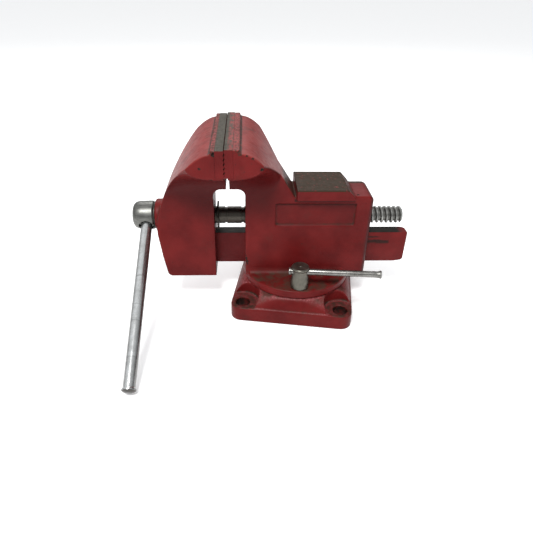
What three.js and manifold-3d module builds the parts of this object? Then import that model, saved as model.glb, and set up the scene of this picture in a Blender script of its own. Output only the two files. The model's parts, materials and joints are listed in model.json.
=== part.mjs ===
// A 4 inch bench vise on a swivel base, with a small anvil, two lock nuts and a sliding handle.
// Millimetres, +Z up. X runs along the screw, the moving (front) jaw is on the -X side, and the
// origin is on the swivel axis at the underside of the base. Inside the "vise" group, x = 0 is the
// plane where the closed jaws meet.
import * as THREE from 'three';
import { mergeVertices } from 'three/addons/utils/BufferGeometryUtils.js';
import Module from 'manifold-3d';

const wasm = await Module();
wasm.setup();

// ---------- driving dimensions ----------
const GAP = 0.3;                 // clearance between pieces that touch
const SLIDE_GAP = 0.4;           // clearance round what slides in the castings

const SWIVEL_X = 61.9;           // jaw plane to swivel axis
const JAW_HALF = 50.8;           // half of the 4 in jaw width
const WALL_HALF = 17;            // half thickness of both castings below the heads
const HEAD_BOTTOM = 133.6;       // underside of the heads at their ends
const FLARE = JAW_HALF - WALL_HALF;
const FLARE_EXPONENT = 2.3;      // superellipse of the heads' undersides

const INSERT = { thick: 6.6, bottom: 135.3, front: 155.9, rear: 156.7, groove: 0.8, pitch: 3.4 };
const FACE_GAP = 0.15;           // each jaw face stands this far from the meeting plane
const INSERT_SCREW = { y: 27, z: 145, headR: 4.4, shankR: 2.5, tip: 17, sink: 0.6, coneEnd: 3.4 };
const SCREW_SLOT = { half: 0.6, deep: 0.9, reach: 5 };

const SCREW_Z = 81.2;            // height of the main screw's axis
const SCREW_R = 7.4;
const ROOT_R = 5.5;
const PITCH = 25.4 / 6;          // 6 threads per inch
const CREST = 1.35;              // width of the thread's crest
const THREAD = { start: 16, end: 153.2 };
const NUT = { x0: 18, x1: 45, r: 12 };
const NUT_SCREW = { x: 31.5, r: 3, inner: 9.9 };

const HUB = { x0: -82.1, x1: -63.4, r: 12.3 };
const BOSS = { face: -61.6, r: 14.2 };
const WASHER_R = 11.8;
const CLIP = { x: -8.3, r: 12.2, thick: 1.3, grooveR: 5.6, mouth: 0.45 };
const SHANK_GROOVES = [[-2.2, -0.5], [12, 14]];

const HANDLE = {
  x: -69.7, r: 4.76, below: 152.2, above: 11.2, tilt: 30.1, headR: 5.5, headT: 2.1, dome: 1.4,
};
const HANDLE_BORE = { r: 5.12, sinkR: 6.4, sinkFrom: 8.7 };

const BAR = { half: 5.5, z0: 36.7, z1: 66.1, inner: -52, end: 161.2, nearRound: 2.2, farRound: 6.5 };
const BAR_PIN = { r: 2, xs: [-44, -22], top: 44 };

const JAW_BOTTOM = 28.7;
const BODY = { front: 15.15, end: 123.4, top: 106, bottom: 31.84, topRound: 7, endRound: 5 };
const THROAT = { top: 113.4, round: 7, frontDepth: 11, frontLip: 0.25, rearLip: 2.9 };
const ANVIL = { x0: 57.6, x1: 99.5, foot: 106.3, half: 21.4, top: 113.1, under: 103.2 };
const PANEL = { x0: 40.5, x1: 108.7, z0: 78.7, z1: 99.2, r: 2, deep: 1.3 };

const FLANGE = { r: 48.24, z0: 24.26, z1: 31.84, edge: 1 };
// How the walls sweep out into the flange: distance out from the wall, height above the flange.
const FOOT_SWEEP = [[7, -0.8], [5, 0], [2.6, 0.9], [1, 2.6], [0, 6]];
const SPIGOT = { r: 12, z0: 13 };

const BASE = { half: 53.35, corner: 9, edge: 13.2, top: 23.95, topR: 46.4, turn: -9.22 };
const MOUNT_HOLE = { at: 42.87, r: 6.35, padR: 14.5, padZ: 13 };
const T_SLOT = { r: 39.6, neck: 4.7, half: 6.4, z0: 4, z1: 12.4, windowHalf: 8 };

const LOCK = { x: -0.4, y: 39.6, boltR: 3.97, boltTop: 43.2, z0: 32.14, barZ: 47.2, barTurn: 5 };
const LOCK_BAR = {
  r: 2.75, left: -7.6, right: 65.4, headR: 3.6, flare: 2.4, headT: 2.9, capR: 3.4, capT: 2.2,
};

// ---------- materials ----------
function material(name, color, roughness, metalness) {
  return new THREE.MeshStandardMaterial({ name, color, roughness, metalness });
}
const redEnamel = material('red_enamel', 0x8e1d22, 0.45, 0.1);
const jawSteel = material('jaw_steel', 0x55504a, 0.5, 0.9);
const greySteel = material('grey_steel', 0x7c7d7c, 0.4, 0.9);
const darkSteel = material('dark_steel', 0x37332f, 0.55, 0.9);

// ---------- solids ----------
function solid(geometry) {
  const bare = geometry.index ? geometry.toNonIndexed() : geometry.clone();
  bare.deleteAttribute('normal');
  bare.deleteAttribute('uv');
  const merged = mergeVertices(bare, 1e-4);
  return new wasm.Manifold(new wasm.Mesh({
    numProp: 3,
    vertProperties: new Float32Array(merged.attributes.position.array),
    triVerts: new Uint32Array(merged.index.array),
  }));
}

function geometryOf(manifold) {
  const mesh = manifold.getMesh();
  const geometry = new THREE.BufferGeometry();
  geometry.setAttribute('position', new THREE.BufferAttribute(mesh.vertProperties.slice(), 3));
  geometry.setIndex(new THREE.BufferAttribute(mesh.triVerts.slice(), 1));
  geometry.computeVertexNormals();
  return geometry;
}

const join = (first, ...others) => others.reduce((whole, part) => whole.add(part), first);
const cut = (first, ...tools) => tools.reduce((rest, tool) => rest.subtract(tool), first);

function block(x0, x1, y0, y1, z0, z1) {
  const box = new THREE.BoxGeometry(x1 - x0, y1 - y0, z1 - z0);
  return solid(box.translate((x0 + x1) / 2, (y0 + y1) / 2, (z0 + z1) / 2));
}

// An outline in X and Y, raised from z0 to z1.
function plate(shape, z0, z1, curveSegments = 8) {
  const body = new THREE.ExtrudeGeometry(shape, { depth: z1 - z0, bevelEnabled: false, curveSegments });
  return solid(body.translate(0, 0, z0));
}

// An outline of [x, z] points or a shape, drawn out from y0 to y1.
function prism(outline, y0, y1, curveSegments = 8) {
  const shape = Array.isArray(outline) ? new THREE.Shape(outline.map(([x, z]) => new THREE.Vector2(x, z)))
    : outline;
  const body = new THREE.ExtrudeGeometry(shape, { depth: y1 - y0, bevelEnabled: false, curveSegments });
  return solid(body.rotateX(Math.PI / 2).translate(0, y1, 0));
}

// A turned solid. The profile is [radius, height] pairs from axis to axis, or a closed ring.
function turned(profile, segments) {
  return new THREE.LatheGeometry(profile.map(([r, h]) => new THREE.Vector2(r, h)), segments);
}
const turnedZ = (profile, segments = 32) => solid(turned(profile, segments).rotateX(Math.PI / 2));
const turnedX = (profile, segments = 24) => solid(turned(profile, segments).rotateZ(-Math.PI / 2));
const ring = (inner, outer, h0, h1) =>
  [[inner, h0], [outer, h0], [outer, h1], [inner, h1], [inner, h0]];
const barrel = (r, h0, h1) => [[0, h0], [r, h0], [r, h1], [0, h1]];

function rodX(r, x0, x1, y, z, segments = 24) {
  return turnedX(barrel(r, x0, x1), segments).translate([0, y, z]);
}
function rodY(r, y0, y1, x, z, segments = 16) {
  return solid(turned(barrel(r, y0, y1), segments)).translate([x, 0, z]);
}
function rodZ(r, z0, z1, x, y, segments = 24) {
  return turnedZ(barrel(r, z0, z1), segments).translate([x, y, 0]);
}

// Joins sections of equal point counts into one closed skin. The two end sections are closed by a
// fan from their middle or, where a section is not convex, by triangles found in its flat drawing.
function loft(sections, drawingOf) {
  const count = sections[0].length;
  const triangles = [];
  for (let s = 0; s + 1 < sections.length; s += 1) {
    for (let i = 0; i < count; i += 1) {
      const a = sections[s][i];
      const b = sections[s][(i + 1) % count];
      const c = sections[s + 1][(i + 1) % count];
      const d = sections[s + 1][i];
      triangles.push(a, b, c, a, c, d);
    }
  }
  [sections[0], sections[sections.length - 1]].forEach((section, end) => {
    for (const face of drawingOf ? facesOf(section.map(drawingOf), section) : fanOf(section)) {
      triangles.push(...(end === 0 ? face.reverse() : face));
    }
  });
  return solid(new THREE.BufferGeometry().setFromPoints(triangles));
}

function facesOf(drawing, section) {
  const turning = Math.sign(THREE.ShapeUtils.area(drawing));
  return THREE.ShapeUtils.triangulateShape(drawing, []).map((face) => {
    const sameWay = Math.sign(THREE.ShapeUtils.area(face.map((i) => drawing[i]))) === turning;
    return (sameWay ? face : face.reverse()).map((i) => section[i]);
  });
}

function fanOf(section) {
  const middle = section.reduce((sum, p) => sum.add(p), new THREE.Vector3()).divideScalar(section.length);
  return section.map((p, i) => [middle, p, section[(i + 1) % section.length]]);
}

function roundedRectangle(x0, x1, y0, y1, r) {
  const shape = new THREE.Shape();
  shape.moveTo(x0 + r, y0);
  shape.lineTo(x1 - r, y0).absarc(x1 - r, y0 + r, r, -Math.PI / 2, 0);
  shape.lineTo(x1, y1 - r).absarc(x1 - r, y1 - r, r, 0, Math.PI / 2);
  shape.lineTo(x0 + r, y1).absarc(x0 + r, y1 - r, r, Math.PI / 2, Math.PI);
  shape.lineTo(x0, y0 + r).absarc(x0 + r, y0 + r, r, Math.PI, Math.PI * 1.5);
  return shape;
}

// A helical thread along X, longer than needed, to be trimmed or used as a tap. Each turn of the
// profile is a root flat, a flank, a crest flat and a flank.
function threadAlongX(x0, x1, rootR, crestR, crestWidth, segments = 10) {
  const flank = (PITCH / 2 - 0.5) / 2;
  const profile = [[0, rootR], [PITCH - crestWidth - 2 * flank, rootR],
    [PITCH - crestWidth - flank, crestR], [PITCH - flank, crestR]];
  const steps = Math.ceil((x1 - x0) / PITCH) * segments;
  const at = (step, k) => {
    const [along, r] = k < 4 ? profile[k] : [PITCH, rootR];
    const turn = 2 * Math.PI * (step % segments) / segments;
    return new THREE.Vector3(x0 + PITCH * step / segments + along,
      r * Math.cos(turn), r * Math.sin(turn));
  };
  const points = [];
  for (let step = 0; step < steps; step += 1) {
    for (let k = 0; k < 4; k += 1) {
      points.push(at(step, k), at(step + 1, k + 1), at(step, k + 1));
      points.push(at(step, k), at(step + 1, k), at(step + 1, k + 1));
    }
  }
  const closeEnd = (firstStep, tipX, flip) => {
    const tip = new THREE.Vector3(tipX, 0, 0);
    const loop = [];
    for (let step = 0; step <= segments; step += 1) loop.push(at(firstStep + step, 0));
    for (let k = 3; k > 0; k -= 1) loop.push(at(firstStep, k));
    loop.forEach((point, i) => {
      const next = loop[(i + 1) % loop.length];
      points.push(...(flip ? [tip, next, point] : [tip, point, next]));
    });
  };
  closeEnd(0, x0 - PITCH, true);
  closeEnd(steps, x0 + PITCH * (steps / segments + 2), false);
  return solid(new THREE.BufferGeometry().setFromPoints(points));
}

// ---------- the two castings' common shapes ----------
// u is the distance from the meeting plane, on either side.
const FRONT_HEAD = {
  back: new THREE.CubicBezierCurve(new THREE.Vector2(9.8, 153.2), new THREE.Vector2(26, 152.8),
    new THREE.Vector2(55.8, 113), new THREE.Vector2(59.9, 75)),
  rib: 9.85, ribTop: INSERT.front, tipAtEnd: 0.31, tipAtWall: 0.71,
};
const REAR_HEAD = {
  back: new THREE.CubicBezierCurve(new THREE.Vector2(11.6, 154.2), new THREE.Vector2(27, 153.5),
    new THREE.Vector2(38, 134), new THREE.Vector2(56.5, 105.5)),
  rib: 11.49, ribTop: INSERT.rear, tipAtEnd: 0.40, tipAtWall: 0.74,
};

// The head's outline in u and z at a distance y from the middle plane.
function headOutline(head, y, backPoints = 9, underPoints = 7) {
  const inward = (JAW_HALF - y) / FLARE;
  const low = HEAD_BOTTOM - FLARE * (1 - Math.sqrt(1 - inward * inward));
  const tipAt = head.tipAtEnd + (head.tipAtWall - head.tipAtEnd) * inward;
  const tip = head.back.getPoint(tipAt);
  const foot = 4;
  const points = [[0, low], [0, head.ribTop], [head.rib, head.ribTop]];
  for (let i = 0; i <= backPoints; i += 1) {
    const p = head.back.getPoint(tipAt * i / backPoints);
    points.push([p.x, p.y]);
  }
  for (let i = 1; i <= underPoints; i += 1) {
    const angle = Math.PI / 2 * i / underPoints;
    const across = Math.cos(angle) ** (2 / FLARE_EXPONENT);
    const down = Math.sin(angle) ** (2 / FLARE_EXPONENT);
    points.push([foot + (tip.x - foot) * across, tip.y - (tip.y - low) * down]);
  }
  points[points.length - 1][0] = foot;
  return points;
}

// Both overhanging wings of a head, from the wall out to the flat ends. side is -1 front, 1 rear.
function wings(head, side) {
  const stations = [0, 0.08, 0.2, 0.36, 0.54, 0.72, 0.88, 1].map((t) => JAW_HALF - FLARE * t);
  const halves = [-1, 1].map((hand) => {
    const sections = stations.map((y) => headOutline(head, y)
      .map(([u, z]) => new THREE.Vector3(side * u, hand * y, z)));
    const inside = sections[sections.length - 1].map((p) => new THREE.Vector3(p.x, hand * 10, p.z));
    sections.push(inside);
    if (side * hand > 0) sections.reverse();
    return loft(sections, (p) => new THREE.Vector2(p.x, p.z));
  });
  return join(...halves);
}

// The open space under the jaws' lips, back to the castings' inner walls.
function throat(side, depth, low) {
  const { top, round } = THROAT;
  const outline = new THREE.Shape();
  outline.moveTo(-side, low).lineTo(-side, top).lineTo(side * (depth - round), top);
  outline.absarc(side * (depth - round), top - round, round, Math.PI / 2, side < 0 ? Math.PI : 0, side > 0);
  outline.lineTo(side * depth, low);
  return prism(outline, -JAW_HALF - 1, JAW_HALF + 1, 7);
}

// The slit between the two castings' lips, below the inserts.
function lipCut(x0, x1) {
  return block(x0, x1, -JAW_HALF - 1, JAW_HALF + 1, THROAT.top - 23, INSERT.bottom);
}

function insertPocket(side, top) {
  const back = INSERT.thick + GAP;
  const [x0, x1] = side < 0 ? [-back, 1] : [-1, back];
  return block(x0, x1, -JAW_HALF - 1, JAW_HALF + 1, INSERT.bottom - GAP, top + 1);
}

// ---------- moving jaw ----------
function frontJaw() {
  const outline = new THREE.Shape();
  const { back, rib } = FRONT_HEAD;
  outline.moveTo(0, INSERT.front).lineTo(0, JAW_BOTTOM).lineTo(-52, JAW_BOTTOM).lineTo(-54.3, 30.4);
  outline.lineTo(-57.3, 48.4).lineTo(-59.9, 70).lineTo(-back.v3.x, back.v3.y);
  outline.bezierCurveTo(-back.v2.x, back.v2.y, -back.v1.x, back.v1.y, -back.v0.x, back.v0.y);
  outline.lineTo(-rib, INSERT.front);
  const web = prism(outline, -WALL_HALF, WALL_HALF, 12);
  const boss = rodX(BOSS.r, BOSS.face, -50, 0, SCREW_Z, 28);
  const body = join(web, wings(FRONT_HEAD, -1), boss);
  const lipClearance = lipCut(-THROAT.frontLip, 1);
  const screwBore = rodX(SCREW_R + 0.8, -63, 0, 0, SCREW_Z, 20);
  const barPocket = block(BAR.inner - GAP, 1, -BAR.half - GAP, BAR.half + GAP,
    BAR.z0 - GAP, BAR.z1 + GAP);
  const pinHoles = BAR_PIN.xs.map((x) => rodZ(BAR_PIN.r + GAP, 20, 40, x, 0, 12));
  const threads = insertScrewSides((y) => rodX(INSERT_SCREW.shankR + GAP,
    -INSERT_SCREW.tip - 0.6, 1, y, INSERT_SCREW.z, 10));
  return cut(body, throat(-1, THROAT.frontDepth, 20), insertPocket(-1, INSERT.front), lipClearance,
    screwBore, barPocket, ...pinHoles, ...threads);
}

function slideBar() {
  const { half, inner, end, z0, z1, nearRound, farRound } = BAR;
  const outline = [[inner, z0], [end - 9, z0], [end - 2.4, z0 + 1], [end - 0.7, z0 + 2.6],
    [end, z1 - 2], [end - 1.6, z1], [inner, z1]];
  const plan = new THREE.Shape();
  plan.moveTo(inner - 1, -half).lineTo(end - nearRound, -half);
  plan.absarc(end - nearRound, -half + nearRound, nearRound, -Math.PI / 2, 0);
  plan.absarc(end - farRound, half - farRound, farRound, 0, Math.PI / 2).lineTo(inner - 1, half);
  const rounded = prism(outline, -half, half).intersect(plate(plan, z0 - 1, z1 + 1, 5));
  const pinHoles = BAR_PIN.xs.map((x) => rodZ(BAR_PIN.r + GAP, 30, BAR_PIN.top + GAP, x, 0, 12));
  return cut(rounded, ...pinHoles);
}

// ---------- jaw inserts and their screws ----------
function insertScrewSides(make) {
  return [-INSERT_SCREW.y, INSERT_SCREW.y].map(make);
}

function jawInsert(side, top) {
  const face = FACE_GAP;
  const back = INSERT.thick;
  const half = 0.7;
  const outline = [[back, INSERT.bottom], [back, top], [face + 0.3, top], [face, top - 0.3]];
  for (let z = top - INSERT.pitch; z > INSERT.bottom + 2; z -= INSERT.pitch) {
    outline.push([face, z + half], [face + INSERT.groove, z], [face, z - half]);
  }
  outline.push([face, INSERT.bottom]);
  const plateSolid = prism(outline.map(([u, z]) => [side * u, z]), -JAW_HALF, JAW_HALF);
  const sinks = insertScrewSides((y) => insertScrewShape(side, y, GAP));
  return cut(plateSolid, ...sinks);
}

// Countersunk screw; grow widens it all round, to cut the hole that it sits in.
function insertScrewShape(side, y, grow) {
  const { headR, shankR, tip, sink, coneEnd } = INSERT_SCREW;
  const start = grow > 0 ? -1 : sink;
  const profile = [[0, start], [headR + grow, start], [headR + grow, sink + grow + 0.4],
    [shankR + grow, coneEnd + grow], [shankR + grow, tip], [0, tip]];
  const facing = side < 0 ? Math.PI / 2 : -Math.PI / 2;
  const shape = solid(turned(profile, 16).rotateZ(facing));
  return shape.translate([0, y, INSERT_SCREW.z]);
}

function insertScrew(side, y) {
  const { half, deep, reach } = SCREW_SLOT;
  const { sink, z } = INSERT_SCREW;
  const [x0, x1] = side < 0 ? [-sink - deep, 1] : [-1, sink + deep];
  const slot = block(x0, x1, y - reach, y + reach, z - half, z + half);
  return cut(insertScrewShape(side, y, 0), slot);
}

// ---------- body with the fixed jaw ----------
function bodyCasting() {
  const outline = new THREE.Shape();
  outline.moveTo(BODY.front, BODY.bottom - 3).lineTo(BODY.front, THROAT.top - 20);
  const { back, rib } = REAR_HEAD;
  const { end, top, topRound, endRound } = BODY;
  outline.lineTo(0, THROAT.top - 20).lineTo(0, INSERT.rear).lineTo(rib, INSERT.rear);
  outline.lineTo(back.v0.x, back.v0.y);
  outline.bezierCurveTo(back.v1.x, back.v1.y, back.v2.x, back.v2.y, back.v3.x, back.v3.y);
  outline.lineTo(60, top).lineTo(end - topRound, top);
  outline.absarc(end - topRound, top - topRound, topRound, Math.PI / 2, 0, true);
  outline.lineTo(end, BODY.bottom - 3);
  const side = prism(outline, -WALL_HALF, WALL_HALF, 12);
  const plan = new THREE.Shape();
  plan.moveTo(-10, -WALL_HALF).lineTo(end - endRound, -WALL_HALF);
  plan.absarc(end - endRound, -WALL_HALF + endRound, endRound, -Math.PI / 2, 0, false);
  plan.absarc(end - endRound, WALL_HALF - endRound, endRound, 0, Math.PI / 2, false);
  plan.lineTo(-10, WALL_HALF);
  const web = side.intersect(plate(plan, 0, 200, 5));
  const anvil = prism([[ANVIL.x0, ANVIL.under], [ANVIL.foot, ANVIL.under], [ANVIL.foot, BODY.top],
    [ANVIL.x1, ANVIL.top], [ANVIL.x0, ANVIL.top]], -ANVIL.half, ANVIL.half);
  return join(web, wings(REAR_HEAD, 1), anvil);
}

// A concave sweep where the walls rise out of the flange.
function footFillet() {
  const flangeEnd = 104;
  const sections = FOOT_SWEEP.map(([out, up]) => {
    const shape = roundedRectangle(BODY.front - Math.min(out, 1), flangeEnd + out / 2,
      -WALL_HALF - out, WALL_HALF + out, 2 + out / 2);
    return shape.getPoints(5).slice(0, -1)
      .map((p) => new THREE.Vector3(p.x, p.y, BODY.bottom + up));
  });
  return loft(sections);
}

function body() {
  const { r, z0, z1, edge } = FLANGE;
  const flange = turnedZ([[0, z0], [r, z0], [r, z1 - edge], [r - edge, z1], [0, z1]], 64)
    .translate([SWIVEL_X, 0, 0]);
  const spigot = rodZ(SPIGOT.r, SPIGOT.z0, FLANGE.z0 + 1, SWIVEL_X, 0, 28);
  const whole = join(bodyCasting(), flange, spigot,
    footFillet().intersect(rodZ(r - edge, 20, 60, SWIVEL_X, 0, 64)));
  const barSlot = block(0, BODY.end + 1, -BAR.half - SLIDE_GAP, BAR.half + SLIDE_GAP,
    BAR.z0 - SLIDE_GAP, BAR.z1 + SLIDE_GAP);
  const screwBore = rodX(SCREW_R + 1.4, 0, BODY.end + 1, 0, SCREW_Z, 20);
  const nutPocket = rodX(NUT.r + GAP, 0, NUT.x1 + GAP, 0, SCREW_Z, 28);
  const nutScrewHole = rodY(NUT_SCREW.r + GAP, 0, WALL_HALF + 1, NUT_SCREW.x, SCREW_Z, 12);
  const panelShape = roundedRectangle(PANEL.x0, PANEL.x1, PANEL.z0, PANEL.z1, PANEL.r);
  const panel = prism(panelShape, -WALL_HALF - 1, -WALL_HALF + PANEL.deep, 3);
  const boltHoles = [-1, 1].map((hand) => rodZ(LOCK.boltR + SLIDE_GAP, 20, 40,
    SWIVEL_X + LOCK.x, hand * LOCK.y, 16));
  const threads = insertScrewSides((y) => rodX(INSERT_SCREW.shankR + GAP, -1,
    INSERT_SCREW.tip + 0.6, y, INSERT_SCREW.z, 10));
  return cut(whole, throat(1, BODY.front, 60), insertPocket(1, INSERT.rear), lipCut(-1, THROAT.rearLip),
    barSlot, screwBore, nutPocket, nutScrewHole, panel, ...boltHoles, ...threads);
}

// ---------- screw and nut ----------
function mainScrew() {
  const r = SCREW_R;
  const [first, second] = SHANK_GROOVES;
  const clip = CLIP.thick / 2 + 0.3;
  const grooved = (from, to, depth) => [[r, from], [r - depth, from], [r - depth, to], [r, to]];
  const profile = [[0, HUB.x0], [6.5, HUB.x0 + 0.2], [9.8, HUB.x0 + 1.3], [11.6, HUB.x0 + 3.4],
    [HUB.r, HUB.x0 + 6.4], [HUB.r + 0.2, HUB.x1 - 0.8], [HUB.r - 0.6, HUB.x1], [r, HUB.x1],
    ...grooved(CLIP.x - clip, CLIP.x + clip, r - CLIP.grooveR),
    ...grooved(first[0], first[1], 0.7), ...grooved(second[0], second[1], 0.8),
    [r, THREAD.start], [ROOT_R - 0.3, THREAD.start + 1.8], [0, THREAD.start + 1.8]];
  const shank = turnedX(profile, 24);
  const trim = turnedX([[0, THREAD.start], [r + 1, THREAD.start], [r + 1, THREAD.end - 2.4],
    [r - 1.4, THREAD.end], [0, THREAD.end]], 10);
  const thread = threadAlongX(THREAD.start - 2 * PITCH, THREAD.end + PITCH, ROOT_R, r, CREST)
    .intersect(trim);
  const tilt = HANDLE.tilt;
  const across = turnedZ(barrel(HANDLE_BORE.r, -20, 20), 20);
  const { sinkR, sinkFrom } = HANDLE_BORE;
  const sinks = [barrel(sinkR, -20, -sinkFrom), barrel(sinkR, sinkFrom, 20)].map((way) => turnedZ(way, 20));
  const tool = join(across, ...sinks).rotate([tilt - 90, 0, 0]).translate([HANDLE.x, 0, 0]);
  return cut(join(shank, thread), tool);
}

function mainNut() {
  const blank = turnedX([[0, NUT.x0], [NUT.r - 0.8, NUT.x0], [NUT.r, NUT.x0 + 0.8],
    [NUT.r, NUT.x1 - 0.8], [NUT.r - 0.8, NUT.x1], [0, NUT.x1]], 28);
  const tapClearance = 0.5;
  const start = THREAD.start - 2 * PITCH;
  const tap = threadAlongX(start, NUT.x1 + 2 * PITCH, ROOT_R + tapClearance, SCREW_R + tapClearance,
    CREST + 2 * GAP).translate([GAP, 0, 0]);
  const dimple = rodY(NUT_SCREW.r + GAP, NUT_SCREW.inner - GAP, 20, NUT_SCREW.x, 0, 12);
  return cut(blank, tap, dimple);
}

// ---------- swivel base ----------
function ringPoints(half, corner, count, z) {
  const points = [];
  for (let i = 0; i < count; i += 1) {
    const angle = 2 * Math.PI * i / count;
    const c = Math.cos(angle);
    const s = Math.sin(angle);
    const flat = half - corner;
    const toSide = half / Math.max(Math.abs(c), Math.abs(s));
    const px = Math.abs(c) * toSide;
    const py = Math.abs(s) * toSide;
    let reach = toSide;
    if (px > flat && py > flat) {
      const along = flat * (Math.abs(c) + Math.abs(s));
      reach = along + Math.sqrt(along * along - 2 * flat * flat + corner * corner);
    }
    points.push(new THREE.Vector3(reach * c, reach * s, z));
  }
  return points;
}

function base() {
  const count = 48;
  const under = 1.2;
  const rise = [0.35, 0.7, 1].map((t) => {
    const edge = ringPoints(BASE.half - under, BASE.corner, count, BASE.edge);
    const top = ringPoints(BASE.topR, BASE.topR - 0.01, count, BASE.top);
    return edge.map((p, i) => {
      const q = p.clone().lerp(top[i], t);
      q.z = BASE.edge + (BASE.top - BASE.edge) * Math.sin(Math.PI / 2 * t) ** 0.9;
      return q;
    });
  });
  const skin = loft([ringPoints(BASE.half - under, BASE.corner, count, 0),
    ringPoints(BASE.half, BASE.corner, count, under),
    ringPoints(BASE.half, BASE.corner, count, BASE.edge - under),
    ringPoints(BASE.half - under, BASE.corner, count, BASE.edge), ...rise]);
  const corners = [[1, 1], [-1, 1], [-1, -1], [1, -1]]
    .map(([i, j]) => [i * MOUNT_HOLE.at, j * MOUNT_HOLE.at]);
  const holes = corners.map(([x, y]) => rodZ(MOUNT_HOLE.r, -1, 30, x, y, 24));
  const pads = corners.map(([x, y]) => rodZ(MOUNT_HOLE.padR, MOUNT_HOLE.padZ, 30, x, y, 28));
  const { r, neck, half, z0, z1, windowHalf } = T_SLOT;
  const slotNeck = turnedZ(ring(r - neck, r + neck, z1 - 4, 30), 40);
  const slotRoom = turnedZ(ring(r - half, r + half, z0, z1), 40);
  const loadingWindow = block(r - half, r + half, -windowHalf, windowHalf, -1, z0 + 1);
  const socket = rodZ(SPIGOT.r + SLIDE_GAP, SPIGOT.z0 - 1, 30, 0, 0, 28);
  return cut(skin, ...holes, ...pads, slotNeck, slotRoom, loadingWindow, socket);
}

// ---------- swivel locks: each is drawn on its own axis, z from the base's underside ----------
function lockBolt() {
  const head = block(-6.5, 6.5, -5.5, 5.5, T_SLOT.z0 + 1, T_SLOT.z1 - SLIDE_GAP);
  return join(head, rodZ(LOCK.boltR, T_SLOT.z1 - 1, LOCK.boltTop, 0, 0, 16));
}

function lockNut() {
  const post = turnedZ([[0, LOCK.z0], [7.6, LOCK.z0], [7.85, LOCK.z0 + 1.4], [7.7, 38], [7, 42.5],
    [6.6, 46], [6.5, 49.6], [7.5, 50.3], [7.7, 51], [7.65, 52], [7, 52.7], [0, 52.9]], 24);
  const threadHole = rodZ(LOCK.boltR + SLIDE_GAP, LOCK.z0 - 1, LOCK.boltTop + SLIDE_GAP, 0, 0, 16);
  const crossHole = rodX(LOCK_BAR.r + GAP, -12, 12, 0, LOCK.barZ, 14);
  return cut(post, threadHole, crossHole);
}

function lockBar() {
  const { r, left, right, headR, flare, headT } = LOCK_BAR;
  const pin = r - 0.6;
  return turnedX([[0, left - 1.4], [pin, left - 1.4], [pin, left], [r, left], [r, right],
    [headR, right + flare], [headR - 0.4, right + headT], [0, right + headT]], 14);
}

function lockBarCap() {
  const { r, left, capR, capT } = LOCK_BAR;
  const bore = r - 0.6 + GAP;
  const bottom = left - 1.4 - GAP;
  return turnedX([[0, left - capT], [capR - 0.5, left - capT], [capR, left - capT + 0.5],
    [capR, left - GAP], [bore, left - GAP], [bore, bottom], [0, bottom]], 14);
}

// ---------- handle, drawn along Z with its lower end down ----------
function handleBar() {
  const { r, below, above, headR, headT, dome } = HANDLE;
  const neck = r - 1.2;
  return turnedZ([[0, -below - dome], [headR * 0.6, -below - dome * 0.7], [headR - 0.4, -below],
    [headR, -below + 0.7],
    [headR, -below + headT - 0.4], [r, -below + headT + 0.5], [r, above - headT - GAP],
    [neck, above - headT - GAP], [neck, above - GAP - 0.2], [0, above - GAP - 0.2]], 20);
}

function handleCap() {
  const { r, above, headR, headT } = HANDLE;
  const bore = r - 1.2 + GAP;
  return turnedZ([[0, above], [bore, above], [bore, above - headT], [headR, above - headT],
    [headR, above], [headR - 0.8, above + 0.8], [0, above + 0.8]], 20);
}

// ---------- assembly ----------
function mesh(name, shape, look) {
  const part = new THREE.Mesh(geometryOf(shape), look);
  part.name = name;
  return part;
}

const vise = new THREE.Group();
vise.position.x = -SWIVEL_X;

vise.add(mesh('body', body(), redEnamel), mesh('front_jaw', frontJaw(), redEnamel),
  mesh('slide_bar', slideBar(), redEnamel));
for (const [place, side, top] of [['front', -1, INSERT.front], ['rear', 1, INSERT.rear]]) {
  vise.add(mesh(`${place}_jaw_insert`, jawInsert(side, top), jawSteel));
  vise.add(mesh(`${place}_insert_screw_near`, insertScrew(side, -INSERT_SCREW.y), greySteel));
  vise.add(mesh(`${place}_insert_screw_far`, insertScrew(side, INSERT_SCREW.y), greySteel));
}
for (const [place, x] of [['front', BAR_PIN.xs[0]], ['rear', BAR_PIN.xs[1]]]) {
  const pin = rodZ(BAR_PIN.r, JAW_BOTTOM + SLIDE_GAP, BAR_PIN.top, x, 0, 12);
  vise.add(mesh(`slide_bar_pin_${place}`, pin, greySteel));
}

const spindle = new THREE.Group();
spindle.position.z = SCREW_Z;
spindle.add(mesh('main_screw', mainScrew(), greySteel), mesh('main_nut', mainNut(), darkSteel));
const washer = turnedX(ring(SCREW_R + 0.5, WASHER_R, HUB.x1 + GAP, BOSS.face - GAP), 24);
spindle.add(mesh('thrust_washer', washer, darkSteel));
const clipShape = new THREE.Shape();
const clipStart = Math.PI / 2 + CLIP.mouth;
const clipEnd = Math.PI * 2.5 - CLIP.mouth;
clipShape.absarc(0, 0, CLIP.r, clipStart, clipEnd, false);
clipShape.absarc(0, 0, CLIP.grooveR + GAP, clipEnd, clipStart, true);
const clipPlate = plate(clipShape, -CLIP.thick / 2, CLIP.thick / 2, 14).rotate([0, 90, 0]);
spindle.add(mesh('retaining_clip', clipPlate.translate([CLIP.x, 0, 0]), darkSteel));

const handle = new THREE.Group();
handle.position.x = HANDLE.x;
handle.rotation.x = THREE.MathUtils.degToRad(HANDLE.tilt - 90);
handle.add(mesh('handle_bar', handleBar(), greySteel), mesh('handle_cap', handleCap(), greySteel));
spindle.add(handle);
vise.add(spindle);

const nutScrew = rodY(NUT_SCREW.r, NUT_SCREW.inner, WALL_HALF - GAP, NUT_SCREW.x, SCREW_Z, 12);
vise.add(mesh('nut_set_screw', nutScrew, darkSteel));

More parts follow.
